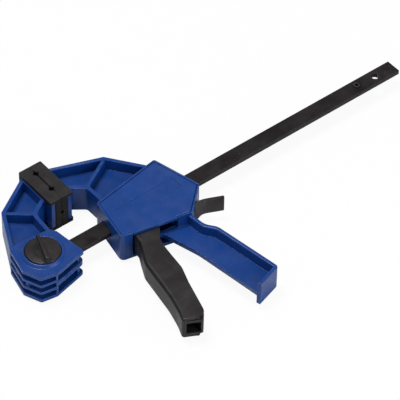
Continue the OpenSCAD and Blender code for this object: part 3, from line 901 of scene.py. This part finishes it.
def soften(piece: bpy.types.Object, rounds: Sequence[EdgeRound], segments: int = 3,
           sharp_deg: float = 28.0, inner_share: float = 0.35) -> bpy.types.Object:
    """Rounds a hard-edged piece's edges, each by the first rule that picks it, as far as there is room.

    Args:
        piece: The object, whose mesh is replaced.
        rounds: The rules, in order.
        segments: Faces across a rounded edge.
        sharp_deg: The least angle between two faces whose edge is rounded.
        inner_share: How wide an inner edge's rounding is beside an outer one's.

    Returns:
        The same object.
    """
    widest = max(r.radius_mm for r in rounds)
    least = LEAST_ROUND_MM / widest
    bm = bmesh.new()
    bm.from_mesh(piece.data)
    bm.faces.index_update()
    turns = {f.index: [turning(f, i) for i in range(len(f.loops))] for f in bm.faces}
    weights = bm.edges.layers.float.get("bevel_weight_edge") or bm.edges.layers.float.new("bevel_weight_edge")
    for edge in bm.edges:
        edge.smooth = True
        if not edge.is_manifold or edge.calc_face_angle(0.0) < math.radians(sharp_deg):
            continue
        a, b = (v.co / MM for v in edge.verts)
        rule = next((r for r in rounds if r.picks((a + b) / 2, (b - a).normalized())), None)
        wide = rule.radius_mm * (1 if edge.is_convex else inner_share) if rule else 0.0
        share = min(wide, room_beside(edge, turns) / MM) / widest
        edge.smooth = share >= least
        edge[weights] = share if edge.smooth else 0.0
    for attempt in range(ROUNDING_TRIES):
        mesh = bevelled(piece.name, bm, widest * MM, segments)
        wrong = crossings(mesh)
        if not wrong:
            break
        LOG.info("%s: round %d, %d crossings", piece.name, attempt, len(wrong) // 4)
        for edge in bm.edges:
            if edge[weights] > 0 and near(edge, wrong, CROSSING_REACH_MM * MM):
                edge.smooth = 0.5 * edge[weights] >= least
                edge[weights] = 0.5 * edge[weights] if edge.smooth else 0.0
    bm.free()
    piece.data = mesh
    return piece


def squareness(edge: bmesh.types.BMEdge) -> float:
    """How squarely an edge inside a flat face meets that face's outline.

    Args:
        edge: The edge.

    Returns:
        1 for an edge that meets it squarely, 0 for one that lies along it.
    """
    normal = edge.link_faces[0].normal
    least = 1.0
    for vert in edge.verts:
        along = (edge.other_vert(vert).co - vert.co).normalized()
        for other in vert.link_edges:
            beside = (other.other_vert(vert).co - vert.co).normalized()
            if other != edge and other.calc_face_angle(0.0) > FLAT and abs(beside.dot(normal)) < 0.02:
                least = min(least, along.cross(beside).length)
    return least


def join_flat_faces(bm: bmesh.types.BMesh) -> None:
    """Joins a mesh's triangles into whole flat faces; a face with a hole keeps its squarest edges.

    Args:
        bm: The mesh, which is changed.
    """
    flat = [e for e in bm.edges if e.is_manifold and e.calc_face_angle(1.0) < FLAT]
    for edge in sorted(flat, key=squareness):
        one, two = edge.link_faces
        if one != two and len(set(one.verts) & set(two.verts)) == 2:
            bmesh.utils.face_join((one, two))
    bm.normal_update()


def from_node(name: str, node: str) -> bpy.types.Object:
    """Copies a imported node's mesh into a new piece, joined at its seams and with its flat faces whole.

    Args:
        name: The piece's name.
        node: The node's name.

    Returns:
        The new piece.
    """
    bm = bmesh.new()
    bm.from_mesh(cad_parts[node].data)
    bmesh.ops.remove_doubles(bm, verts=bm.verts, dist=SEAM_MM * MM)
    join_flat_faces(bm)
    return show_solid(name, bm)


def closed_rings(name: str, rings: Sequence[Sequence[Vector]], smooth_deg: float = 32.0) -> bpy.types.Object:
    """Joins rings of points into a closed solid; a ring of one point closes it there.

    Args:
        name: The piece's name.
        rings: Rings with as many points each, in millimetres, apart from those of one point.
        smooth_deg: The angle between two faces above which their edge looks sharp.

    Returns:
        The new piece.
    """
    bm = bmesh.new()
    made = [[bm.verts.new(point * MM) for point in ring] for ring in rings]
    for one, two in zip(made, made[1:]):
        count = max(len(one), len(two))
        for k in range(count):
            corners = [one[k % len(one)], one[(k + 1) % len(one)], two[(k + 1) % len(two)], two[k % len(two)]]
            bm.faces.new(list(dict.fromkeys(corners)))
    for ring in (made[0], made[-1]):
        if len(ring) > 2:
            bm.faces.new(ring)
    bmesh.ops.recalc_face_normals(bm, faces=bm.faces)
    for face in bm.faces:
        face.smooth = True
    for edge in bm.edges:
        edge.smooth = edge.calc_face_angle(0.0) < math.radians(smooth_deg)
    return show_solid(name, bm)


def tube(name: str, path: Sequence[Vector], radius_mm: float, sides: int = 10) -> bpy.types.Object:
    """Makes a closed round wire along a path.

    Args:
        name: The piece's name.
        path: Its centreline, in millimetres.
        radius_mm: The wire's radius.
        sides: Faces round the wire.

    Returns:
        The new piece.
    """
    rings = []
    previous = Vector((1, 0, 0))
    for i, point in enumerate(path):
        ahead = (path[min(i + 1, len(path) - 1)] - path[max(i - 1, 0)]).normalized()
        first = (previous - ahead * previous.dot(ahead)).normalized()
        second = ahead.cross(first)
        previous = first
        rings.append([point + radius_mm * (math.cos(a) * first + math.sin(a) * second)
                      for a in (2 * math.pi * k / sides for k in range(sides))])
    return closed_rings(name, rings, smooth_deg=60.0)


def lathe(name: str, centre: Vector, profile: Sequence[tuple[float, float]],
          steps: int = 96) -> bpy.types.Object:
    """Turns a profile about a standing axis.

    Args:
        name: The piece's name.
        centre: A point of the axis, in millimetres.
        profile: Radii and heights, in millimetres, from one end of the axis to the other.
        steps: Faces round the axis.

    Returns:
        The new piece.
    """
    rings = []
    for radius, height in profile:
        angles = [2 * math.pi * k / steps for k in range(steps if radius > 0 else 1)]
        rings.append([Vector((centre.x + radius * math.cos(a), centre.y + radius * math.sin(a), height))
                      for a in angles])
    return closed_rings(name, rings)


def outline_run(piece: bpy.types.Object, level: float, wanted: CornerTest) -> list[Vector]:
    """Walks along the outline of a level face, where that meets an upright side.

    The material lies on the left.

    Args:
        piece: The piece.
        level: The face's height, in millimetres.
        wanted: Picks the corners of the run.

    Returns:
        The corners of the longest run in order, in millimetres.
    """
    bm = bmesh.new()
    bm.from_mesh(piece.data)
    places = {v.index: v.co / MM for v in bm.verts}
    onward: dict[int, int] = {}
    for edge in bm.edges:
        ends = [places[v.index] for v in edge.verts]
        on_level = all(abs(end.z - level) < 2 * WELD_MM and wanted(end) for end in ends)
        if edge.calc_face_angle(0.0) < 1.0 or not on_level:
            continue
        for loop in edge.link_loops:
            if abs(loop.face.normal.z) > 0.9:
                pair = (loop.vert.index, loop.link_loop_next.vert.index)
                start, end = pair if loop.face.normal.z > 0 else reversed(pair)
                onward[start] = end
    bm.free()
    longest: list[int] = []
    for start in set(onward) - set(onward.values()):
        run = [start]
        while run[-1] in onward:
            run.append(onward[run[-1]])
        longest = max(longest, run, key=len)
    return [places[k] for k in longest]


def shaving(name: str, run: Sequence[Vector], upward: int, radius: Callable[[Vector], float],
            beyond: tuple[float, float] = (2.0, 3.0)) -> bpy.types.Object:
    """Makes the solid that rounds a face's outline when it is cut away; the material lies left of the run.

    Args:
        name: The solid's name.
        run: The outline's corners, in millimetres.
        upward: 1 for a face that looks up, -1 for one that looks down.
        radius: The rounding at a place.
        beyond: How far the cut runs on past the first and the last corner.

    Returns:
        The new piece.
    """
    first, last = (run[1] - run[0]).normalized(), (run[-1] - run[-2]).normalized()
    points = [run[0] - beyond[0] * first, *run, run[-1] + beyond[1] * last]
    clear, reach, slope, steps = 0.05, 1.5, math.radians(6), 6
    angles = [slope + (math.pi / 2 - 2 * slope) * i / steps for i in range(steps + 1)]
    rings = []
    for k, point in enumerate(points):
        ways = [(b - a).normalized() for a, b in zip(points[max(k - 1, 0):k + 1], points[max(k, 1):k + 2])]
        outs = [Vector((way.y, -way.x, 0)) for way in ways]
        out = sum(outs, Vector()).normalized()
        # At a corner the cut reaches out further, but not without end
        out = out / max(out.dot(outs[0]), 0.7)
        r = radius(point)
        arc = [(r * (math.sin(a) - 1), r * (math.cos(a) - 1)) for a in angles]
        # The cut meets both faces at a slope, so that no sliver is left beside it
        lead = arc[0][0] - (clear - arc[0][1]) / math.tan(slope)
        shape = [(lead, clear), *arc, (clear, lead), (reach, lead), (reach, reach), (lead, reach)]
        rings.append([point + out * x + Vector((0, 0, upward * z)) for x, z in shape])
    return closed_rings(name, rings, smooth_deg=180.0)


def combine(piece: bpy.types.Object, others: Sequence[bpy.types.Object], operation: str) -> bpy.types.Mesh:
    """Unites solids with a piece, or cuts them out of it.

    Args:
        piece: The piece, which stays as it is.
        others: The solids, which are used up.
        operation: The Boolean modifier's operation.

    Returns:
        The new mesh.
    """
    for other in others:
        step = piece.modifiers.new(other.name, "BOOLEAN")
        step.operation = operation
        step.solver = "EXACT"
        step.object = other
    mesh = evaluated_mesh(piece, piece.name)
    piece.modifiers.clear()
    for other in others:
        bpy.data.objects.remove(other)
    return mesh


def cut_away(piece: bpy.types.Object, cutters: Sequence[bpy.types.Object]) -> bpy.types.Object:
    """Cuts solids out of a piece.

    Args:
        piece: The piece, whose mesh is replaced.
        cutters: The solids, which are used up.

    Returns:
        The same piece.
    """
    mesh = combine(piece, cutters, "DIFFERENCE")
    bm = bmesh.new()
    bm.from_mesh(mesh)
    bmesh.ops.remove_doubles(bm, verts=bm.verts, dist=WELD_MM * MM)
    bmesh.ops.dissolve_degenerate(bm, edges=bm.edges, dist=WELD_MM / 2 * MM)
    bm.to_mesh(mesh)
    bm.free()
    piece.data = mesh
    return piece


def quarter(radius: float, steps: int = 4) -> list[tuple[float, float]]:
    """How far a rounded shoulder stands back from its corner, level by level: inwards and down."""
    return [(radius * (1 - math.cos(a)), radius * (1 - math.sin(a)))
            for a in (math.pi / 2 * k / steps for k in range(steps + 1))]


def united(name: str, first: bpy.types.Object, second: bpy.types.Object) -> bpy.types.Object:
    """Unites two overlapping solids into one.

    Args:
        name: The new piece's name.
        first: The first solid, which is used up.
        second: The second solid, which is used up.

    Returns:
        The new piece.
    """
    mesh = combine(first, [second], "UNION")
    mesh.name = name
    bpy.data.objects.remove(first)
    return show(name, mesh)


def keep_within(piece: bpy.types.Object, box: tuple[Vector, Vector]) -> None:
    """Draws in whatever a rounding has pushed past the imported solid's box.

    Args:
        piece: The piece.
        box: The solid's two corners, in metres.
    """
    low, high = box
    for vertex in piece.data.vertices:
        vertex.co = [min(max(vertex.co[k], low[k]), high[k]) for k in range(3)]


@dataclass
class SubAssembly:
    """A group of pieces that is built and dressed together.

    Attributes:
        body: The name of the body that its pieces ride on.
        made: Its finished pieces.
    """

    body: str
    made: list[bpy.types.Object] = field(default_factory=list)

    def dress(self, piece: bpy.types.Object, finish: Finish, slot: str, node: str) -> None:
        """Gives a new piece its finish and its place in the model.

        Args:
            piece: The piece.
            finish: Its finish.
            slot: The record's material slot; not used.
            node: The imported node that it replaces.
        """
        keep_within(piece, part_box(node))
        piece.data.materials.clear()
        piece.data.materials.append(material_of(finish))
        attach(piece, self.body)
        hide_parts(node)
        self.made.append(piece)
        LOG.info("%s: %s, %d faces", self.body, piece.name, len(piece.data.polygons))

    def refine(self, name: str, node: str, finish: Finish, slot: str, radius_mm: float,
               segments: int = 3) -> None:
        """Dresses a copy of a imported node, with its edges rounded, in the node's place.

        Args:
            name: The new piece's name.
            node: The node's name.
            finish: Its finish.
            slot: The record's material slot.
            radius_mm: The radius of its edges.
            segments: Faces across a rounded edge.
        """
        self.dress(soften(from_node(name, node), [EdgeRound(radius_mm)], segments), finish, slot, node)

    def coat(self, node: str, finish: Finish) -> None:
        """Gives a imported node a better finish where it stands.

        Args:
            node: The node's name.
            finish: Its finish.
        """
        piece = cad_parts[node]
        for slot in piece.material_slots:
            slot.material = material_of(finish)
        self.made.append(piece)
        LOG.info("%s: packed node %s kept, finish %s", self.body, node, finish.name)

    def build(self) -> None:
        """Builds the group's pieces."""
        raise NotImplementedError


_materials: dict[str, bpy.types.Material] = {}


def material_of(finish: Finish) -> bpy.types.Material:
    """Gives a finish's material, made once.

    Args:
        finish: The finish.

    Returns:
        The material.
    """
    if finish.name not in _materials:
        _materials[finish.name] = finish.build()
    return _materials[finish.name]


# --- Sub-assemblies ------------------------------------------------------------------------------


@dataclass
class Bar(SubAssembly):
    """The steel bar with its stop pin.

    Attributes:
        edge_mm: Radius of the bar's edges.
        pin_edge_mm: Radius of the pin's edges.
    """

    body: str = "bar"
    edge_mm: float = 0.2
    pin_edge_mm: float = 0.18

    def build(self) -> None:
        """Builds the bar and its pin."""
        self.refine("bar_rail", "bar", BAR_BLACK, "bar_steel", self.edge_mm, 2)
        self.refine("stop_spring_pin", "stop_pin", PIN_DARK, "pin_steel_dark", self.pin_edge_mm, 2)


@dataclass
class FixedJaw(SubAssembly):
    """The jaw at the bar's end, with its pad and the knob's sealing ring.

    Attributes:
        edge_mm: Radius of the jaw's outer edges.
        pad_edge_mm: Radius of the pad's edges.
    """

    body: str = "bar"
    edge_mm: float = 0.75
    pad_edge_mm: float = 1.3

    def build(self) -> None:
        """Builds the jaw, its pad and its ring."""
        self.refine("fixed_jaw_body", "fixed_jaw", BODY_BLUE, "blue_body", self.edge_mm)
        self.refine("fixed_jaw_pad", "fixed_pad", PAD_BLACK, "pad_rubber", self.pad_edge_mm)
        self.coat("knob_ring", RING_BLACK)


@dataclass
class LockKnob(SubAssembly):
    """The quarter turn knob that locks the fixed jaw to the bar; its sizes are in millimetres.

    Attributes:
        fin_deg: The fin's direction in plan.
        fin_foot: Half the fin's width at its foot, at its far and its near end.
        fin_crest: The same at its crest.
        fin_rise: How far the fin stands out of the disc's face.
        fin_sunk: How far its foot is sunk into the disc.
        fin_inset: How far its ends stay inside the disc's rim.
        fin_lean: How far its ends lean in at the crest.
        fin_least: The least half width at its crest.
        shoulder: The rounding of its crest.
        shoulder_share: How much of that rounding its sides take up, beside its ends.
        tip_round: The greatest rounding of its ends in plan.
        tip_steps: Faces round half of an end.
        face_round: The rounding of the disc's rim.
        foot_cut: The chamfer at the disc's foot.
        bore_r: Radius of the shank's seat.
        bore_top: How far the seat stops below the disc's face.
    """

    body: str = "knob"
    fin_deg: float = 71.0
    fin_foot: tuple[float, float] = (2.0, 3.0)
    fin_crest: tuple[float, float] = (1.1, 1.9)
    fin_rise: float = 5.0
    fin_sunk: float = 0.6
    fin_inset: float = 0.15
    fin_lean: float = 0.5
    fin_least: float = 0.15
    shoulder: float = 0.9
    shoulder_share: float = 0.8
    tip_round: float = 1.3
    tip_steps: int = 4
    face_round: float = 0.8
    foot_cut: float = 0.3
    bore_r: float = 3.05
    bore_top: float = 1.3

    def build(self) -> None:
        """Builds the knob, its shank and its cross pin."""
        low, high = (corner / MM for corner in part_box("lock_knob"))
        centre = (low + high) / 2
        radius = (high.x - low.x) / 2
        face = high.z - self.fin_rise
        bore = face - self.bore_top
        rim = [(radius - back, face - down) for back, down in quarter(self.face_round)]
        disc = lathe("knob_disc", centre, [
            (0.0, bore), (self.bore_r, bore), (self.bore_r, low.z), (radius - self.foot_cut, low.z),
            (radius, low.z + self.foot_cut), *rim, (0.0, face)])
        fin = self._fin(centre, radius - self.fin_inset, face - self.fin_sunk, high.z)
        self.dress(united("lock_knob_head", disc, fin), KNOB_BLACK, "black_plastic", "lock_knob")
        self.coat("lock_pin", PIN_STEEL)
        self.coat("bayonet_pin", PIN_STEEL)

    def _fin(self, centre: Vector, reach: float, foot: float, crest: float) -> bpy.types.Object:
        """Builds the fin, which is wider towards its near end and has a rounded crest.

        Args:
            centre: The knob's middle, in millimetres.
            reach: Half the fin's length.
            foot: Height of its foot.
            crest: Height of its crest.

        Returns:
            The new piece.
        """
        along = Vector((math.cos(math.radians(self.fin_deg)), math.sin(math.radians(self.fin_deg)), 0))
        side = Vector((-along.y, along.x, 0))
        levels = [(foot, 0.0, 0.0), *((crest - down, 1.0, back) for back, down in quarter(self.shoulder))]
        rings = []
        for height, share, back in levels:
            ring = []
            for end, foot_wide, crest_wide in ((-1, self.fin_foot[1], self.fin_crest[1]),
                                               (1, self.fin_foot[0], self.fin_crest[0])):
                wide = foot_wide + share * (crest_wide - foot_wide) - self.shoulder_share * back
                wide = max(wide, self.fin_least)
                tip = end * (reach - self.fin_lean * share - back)
                turn = min(wide, self.tip_round)
                for k in range(-self.tip_steps, self.tip_steps + 1):
                    a = math.pi / 2 * k / self.tip_steps
                    spread = (wide - turn) * ((k > 0) - (k < 0)) + turn * math.sin(a)
                    ring.append(centre.xy.to_3d() + along * (tip - end * turn * (1 - math.cos(a)))
                                + side * (end * spread) + Vector((0, 0, height)))
            rings.append(ring)
        return closed_rings("knob_fin", rings, smooth_deg=50.0)


@dataclass
class MovingJaw(SubAssembly):
    """The sliding jaw with its housing, cover, pad, screws, pins and springs; its sizes are in millimetres.

    Attributes:
        edge_mm: Radius of the jaw's outer edges.
        grip_edge_mm: Radius of the grip's rims.
        grip_corner_mm: Radius of the grip's upright corners at its end.
        grip_half: Half the grip's height.
        grip_from: The place along y below which the grip's rims are looked for.
        grip_top: The place along y above which a rim meets the housing.
        grip_end_from: The place along y below which the grip's end lies.
        cover_edge_mm: Radius of the cover's edges.
        pad_edge_mm: Radius of the pad's edges.
        screw_edge_mm: Radius of the screws' edges.
        drive_wire: Wire of the drive spring.
        drive_turns: Its turns.
        drive_keep: The share of its length that is left when it is pressed.
        brake_wire: Wire of the brake spring.
        brake_turns: Its turns.
        brake_keep: The share of its length that is left when it is pressed.
        turn_steps: Points along one turn of a spring.
    """

    body: str = "jaw"
    edge_mm: float = 0.75
    grip_edge_mm: float = 1.15
    grip_corner_mm: float = 2.4
    grip_half: float = 11.5
    grip_from: float = -35.0
    grip_top: float = -36.56
    grip_end_from: float = -75.0
    cover_edge_mm: float = 0.25
    pad_edge_mm: float = 1.3
    screw_edge_mm: float = 0.2
    drive_wire: float = 1.2
    drive_turns: int = 4
    drive_keep: float = 0.475
    brake_wire: float = 1.1
    brake_turns: int = 3
    brake_keep: float = 0.8
    turn_steps: int = 32

    def build(self) -> None:
        """Builds the housing and everything fixed to it."""
        jaw = from_node("moving_jaw_body", "moving_jaw")
        soften(cut_away(jaw, self._grip_shavings(jaw)), [
            EdgeRound(self.grip_corner_mm, self._at_grip_end),
            EdgeRound(self.edge_mm),
        ])
        self.dress(jaw, BODY_BLUE, "blue_body", "moving_jaw")
        self.refine("housing_cover", "side_cover", COVER_BLUE, "blue_body", self.cover_edge_mm, 2)
        self.refine("moving_jaw_pad", "moving_pad", PAD_BLACK, "pad_rubber", self.pad_edge_mm)
        self.refine("cover_screw_set", "cover_screws", SCREW_ZINC, "screw_steel", self.screw_edge_mm, 2)
        self.coat("trigger_pin", PIN_STEEL)
        self.coat("release_pin", PIN_STEEL)
        self._spring("drive_spring", self.drive_turns, self.drive_wire, "drive_slide", self.drive_keep)
        self._spring("brake_spring", self.brake_turns, self.brake_wire, "release_press", self.brake_keep)

    def _grip_shavings(self, jaw: bpy.types.Object) -> list[bpy.types.Object]:
        """Makes the solids that round the grip's rims when they are cut away.

        Args:
            jaw: The jaw's moulding.

        Returns:
            The solids, one for each side of the grip at each rim.
        """
        cutters: list[bpy.types.Object] = []
        for upward in (1, -1):
            level = MID_Z_MM + upward * self.grip_half
            run = outline_run(jaw, level, lambda corner: corner.y < self.grip_from)
            root = [k for k, corner in enumerate(run) if corner.y > self.grip_top]
            # A cut runs on past the rim's open end, and hardly at all where the rim meets the housing
            for part, beyond in ((run[:root[0] + 1], (2.0, 0.05)), (run[root[-1]:], (0.05, 3.0))):
                cutters.append(shaving(f"grip_rounding_{len(cutters)}", part, upward,
                                       lambda corner: self.grip_edge_mm, beyond))
        return cutters

    def _at_grip_end(self, middle: Vector, along: Vector) -> bool:
        """Picks the upright corners of the grip's end."""
        return middle.y < self.grip_end_from and abs(along.z) > 0.9

    def _spring(self, node: str, turns: int, wire: float, joint: str, keep: float) -> None:
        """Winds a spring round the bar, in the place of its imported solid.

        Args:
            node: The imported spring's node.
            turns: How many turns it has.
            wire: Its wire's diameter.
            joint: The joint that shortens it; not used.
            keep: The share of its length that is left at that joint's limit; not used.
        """
        low, high = (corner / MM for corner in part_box(node))
        middle = (low + high) / 2
        reach = (high.y - low.y - wire) / 2
        steps = turns * self.turn_steps
        path = []
        for k in range(steps + 1):
            a = 2 * math.pi * k / self.turn_steps
            x = low.x + wire / 2 + (high.x - low.x - wire) * k / steps
            path.append(Vector((x, middle.y + reach * math.cos(a), middle.z + reach * math.sin(a))))
        spring = tube(node + "_wound", path, wire / 2)
        self.dress(spring, SPRING_STEEL, "spring_steel", node)
        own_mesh(spring)


@dataclass
class Trigger(SubAssembly):
    """The squeezed lever with its hardened roller; its sizes are in millimetres.

    Attributes:
        edge_mm: Radius of the lever's other edges.
        half_height: Half the lever's height.
        front_round: Rounding of the outline along the fingers.
        end_round: Rounding of the outline round the hollow end.
        end_from: The place along y at which the hollow end starts.
        end_blend: The places along y between which one rounding passes into the other.
        cut_corner: The place along x at which the end's corner is cut.
        front: The finger side's corners in plan, from the hub down.
        front_reach: How far off that line a corner may lie.
    """

    body: str = "trigger"
    edge_mm: float = 0.5
    half_height: float = 10.3
    front_round: float = 3.0
    end_round: float = 1.9
    end_from: float = -113.0
    end_blend: tuple[float, float] = (-116.0, -110.0)
    cut_corner: float = 17.35
    front: tuple[tuple[float, float], ...] = (
        (22.6, -24.4), (21.6, -33.5), (17.6, -41.3), (11.9, -53.2), (9.0, -71.2), (5.9, -90.7), (2.1, -105.3),
        (-1.9, -116.1))
    front_reach: float = 2.5

    def build(self) -> None:
        """Builds the lever and its roller."""
        lever = from_node("trigger_lever", "trigger")
        cutters = []
        for upward in (1, -1):
            run = outline_run(lever, MID_Z_MM + upward * self.half_height, self._round_the_front)
            cutters.append(shaving(f"trigger_rounding_{len(cutters)}", run, upward, self._rounding))
        soften(cut_away(lever, cutters), [EdgeRound(self.edge_mm)])
        self.dress(lever, TRIGGER_BLACK, "black_plastic", "trigger")
        self.coat("trigger_roller", PIN_STEEL)

    def _round_the_front(self, corner: Vector) -> bool:
        """Picks the outline's corners along the finger side, round the hollow end and along its cut corner.

        Args:
            corner: The corner, in millimetres.

        Returns:
            Whether it is one of them.
        """
        if corner.y < self.end_from:
            return corner.x < self.cut_corner
        for (x0, y0), (x1, y1) in zip(self.front, self.front[1:]):
            line_x = x1 + (x0 - x1) * (corner.y - y1) / (y0 - y1)
            if y1 <= corner.y <= y0 and abs(corner.x - line_x) < self.front_reach:
                return True
        return False

    def _rounding(self, corner: Vector) -> float:
        """How far the outline's edge is rounded at a place: widely along the fingers, less round the end.

        Args:
            corner: The place, in millimetres.

        Returns:
            The radius.
        """
        low, high = self.end_blend
        share = min(max((corner.y - low) / (high - low), 0.0), 1.0)
        return self.end_round + share * (self.front_round - self.end_round)


@dataclass
class Drive(SubAssembly):
    """The two plates that grip the bar and push it.

    Attributes:
        plate_edge_mm: Radius of the plates' edges.
    """

    body: str = "drive"
    plate_edge_mm: float = 0.2

    def build(self) -> None:
        """Builds the plates."""
        for node in ("drive_plate_front", "drive_plate_rear"):
            self.refine(f"{node}_ground", node, PLATE_STEEL, "plate_steel", self.plate_edge_mm, 2)


@dataclass
class Release(SubAssembly):
    """The release lever with the two brake plates that it tilts.

    Attributes:
        lever_edge_mm: Radius of the lever's edges.
        plate_edge_mm: Radius of the plates' edges.
    """

    body: str = "release"
    lever_edge_mm: float = 0.6
    plate_edge_mm: float = 0.2

    def build(self) -> None:
        """Builds the lever and the plates."""
        self.refine("release_lever_blade", "release_lever", LEVER_BLACK, "black_plastic", self.lever_edge_mm)
        for node in ("brake_plate_front", "brake_plate_rear"):
            self.refine(f"{node}_ground", node, PLATE_STEEL, "plate_steel", self.plate_edge_mm, 2)


# --- Studio --------------------------------------------------------------------------------------


@dataclass(frozen=True)
class Lamp:
    """A soft square lamp that looks at the clamp.

    Attributes:
        name: Its name.
        place: Where it hangs, in metres.
        side: Its width, in metres.
        power: Its power, in watts.
    """

    name: str
    place: tuple[float, float, float]
    side: float
    power: float

    def hang(self, aim: Vector) -> None:
        """Puts the lamp in the scene.

        Args:
            aim: The point that it looks at.
        """
        data = bpy.data.lights.new(self.name, "AREA")
        data.shape = "SQUARE"
        data.size = self.side
        data.energy = self.power
        lamp = bpy.data.objects.new(self.name, data)
        lamp.location = self.place
        lamp.rotation_mode = "QUATERNION"
        lamp.rotation_quaternion = (aim - Vector(self.place)).to_track_quat("-Z", "Y")
        bpy.context.scene.collection.objects.link(lamp)


@dataclass
class Studio:
    """The pale floor, the light and the camera; its sizes are in metres.

    Attributes:
        floor_side: Width of the floor.
        floor_drop: How far the floor lies below the clamp.
        paper: The floor's own colour, which lights the clamp from below.
        seen_white: How far the floor looks plain white to the camera; the rest keeps the shadow.
        mirrored_white: The floor's tone in reflections.
        horizon: The sky's colour near the floor.
        zenith: Its colour overhead.
        aim: The point that the lamps look at.
        lens_mm: The camera's focal length.
        sensor_mm: Width of its sensor.
        clip: The nearest and the farthest place that it sees.
        eye: Where it stands.
        right: The direction of its picture's right side.
        up: The direction of its picture's top.
        lamps: The lamps.
    """

    floor_side: float = 12.0
    floor_drop: float = 0.0004
    paper: Colour = (0.85, 0.85, 0.85)
    seen_white: float = 0.93
    mirrored_white: Colour = (0.68, 0.68, 0.68)
    horizon: Colour = (0.34, 0.35, 0.36)
    zenith: Colour = (0.26, 0.26, 0.26)
    aim: Vector = field(default_factory=lambda: Vector((0.06, -0.02, 0.015)))
    lens_mm: float = 239.523
    sensor_mm: float = 36.0
    clip: tuple[float, float] = (0.05, 50.0)
    eye: tuple[float, float, float] = (-0.8190689, -1.1255569, 1.5040099)
    right: tuple[float, float, float] = (0.78066060, -0.62480431, 0.01373306)
    up: tuple[float, float, float] = (0.44280914, 0.56850654, 0.69334002)
    lamps: tuple[Lamp, ...] = (
        Lamp("key", (-0.3, 0.35, 2.2), 0.8, 38.0),
        Lamp("fill", (0.45, -1.9, 0.8), 1.3, 20.0),
    )

    def build(self) -> None:
        """Builds the studio."""
        self._floor()
        self._world()
        for lamp in self.lamps:
            lamp.hang(self.aim)
        self._camera()
        bpy.context.scene.view_settings.view_transform = "Standard"

    def _floor(self) -> None:
        """Lays a floor that looks white and keeps the shadow."""
        half = self.floor_side / 2
        mesh = bpy.data.meshes.new("studio_floor")
        corners = [(-half, -half, 0.0), (half, -half, 0.0), (half, half, 0.0), (-half, half, 0.0)]
        mesh.from_pydata(corners, [], [(0, 1, 2, 3)])
        floor = show("studio_floor", mesh)
        floor.location = (0, 0, -self.floor_drop)
        material = bpy.data.materials.new("floor_white")
        material.use_nodes = True
        w = Wiring(material.node_tree)
        paper = w.add("BsdfDiffuse")
        mirrored = w.add("LightPath").outputs["Is Glossy Ray"]
        w.put(w.mix(mirrored, self.paper, self.mirrored_white), paper.inputs["Color"])
        glow = w.add("Emission")
        glow.inputs["Strength"].default_value = 1.0
        seen = w.math("MULTIPLY", self._straight(w), self.seen_white)
        w.put(w.blend(seen, paper, glow), w.add("OutputMaterial").inputs["Surface"])
        mesh.materials.append(material)

    @staticmethod
    def _straight(w: Wiring) -> bpy.types.NodeSocket:
        """Whether a ray comes from the camera, straight or through something clear."""
        path = w.add("LightPath")
        return w.math("MAXIMUM", path.outputs["Is Camera Ray"], path.outputs["Is Transmission Ray"])

    def _world(self) -> None:
        """Makes a sky that is pale near the floor and dimmer overhead, and looks white."""
        world = bpy.data.worlds.new("studio_sky")
        world.use_nodes = True
        bpy.context.scene.world = world
        w = Wiring(world.node_tree)
        upright = w.split(w.add("TexCoord").outputs["Generated"])["Z"]
        height = w.between(upright, 0.1, 0.75, smooth=True)
        dome, white = w.add("Background"), w.add("Background")
        w.put(w.mix(height, self.horizon, self.zenith), dome.inputs["Color"])
        w.put((1.0, 1.0, 1.0), white.inputs["Color"])
        for light in (dome, white):
            light.inputs["Strength"].default_value = 1.0
        w.put(w.blend(self._straight(w), dome, white), w.add("OutputWorld").inputs["Surface"])

    def _camera(self) -> None:
        """Sets the camera."""
        data = bpy.data.cameras.new("camera")
        data.lens = self.lens_mm
        data.sensor_width = self.sensor_mm
        data.clip_start, data.clip_end = self.clip
        camera = bpy.data.objects.new("camera", data)
        right, up = Vector(self.right), Vector(self.up)
        axes = Matrix((right, up, right.cross(up))).transposed()
        camera.matrix_world = Matrix.Translation(self.eye) @ axes.to_4x4()
        bpy.context.scene.collection.objects.link(camera)
        bpy.context.scene.camera = camera


def main() -> None:
    """Builds the clamp in order, then the studio."""
    logging.basicConfig(level=logging.INFO, format="%(message)s")
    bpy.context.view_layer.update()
    assemblies = [Bar(), FixedJaw(), LockKnob(), MovingJaw(), Trigger(), Drive(), Release()]
    for assembly in assemblies:
        assembly.build()
    Studio().build()
    LOG.info("%d pieces in %d sub-assemblies", sum(len(a.made) for a in assemblies), len(assemblies))


if __name__ == "__main__":
    main()
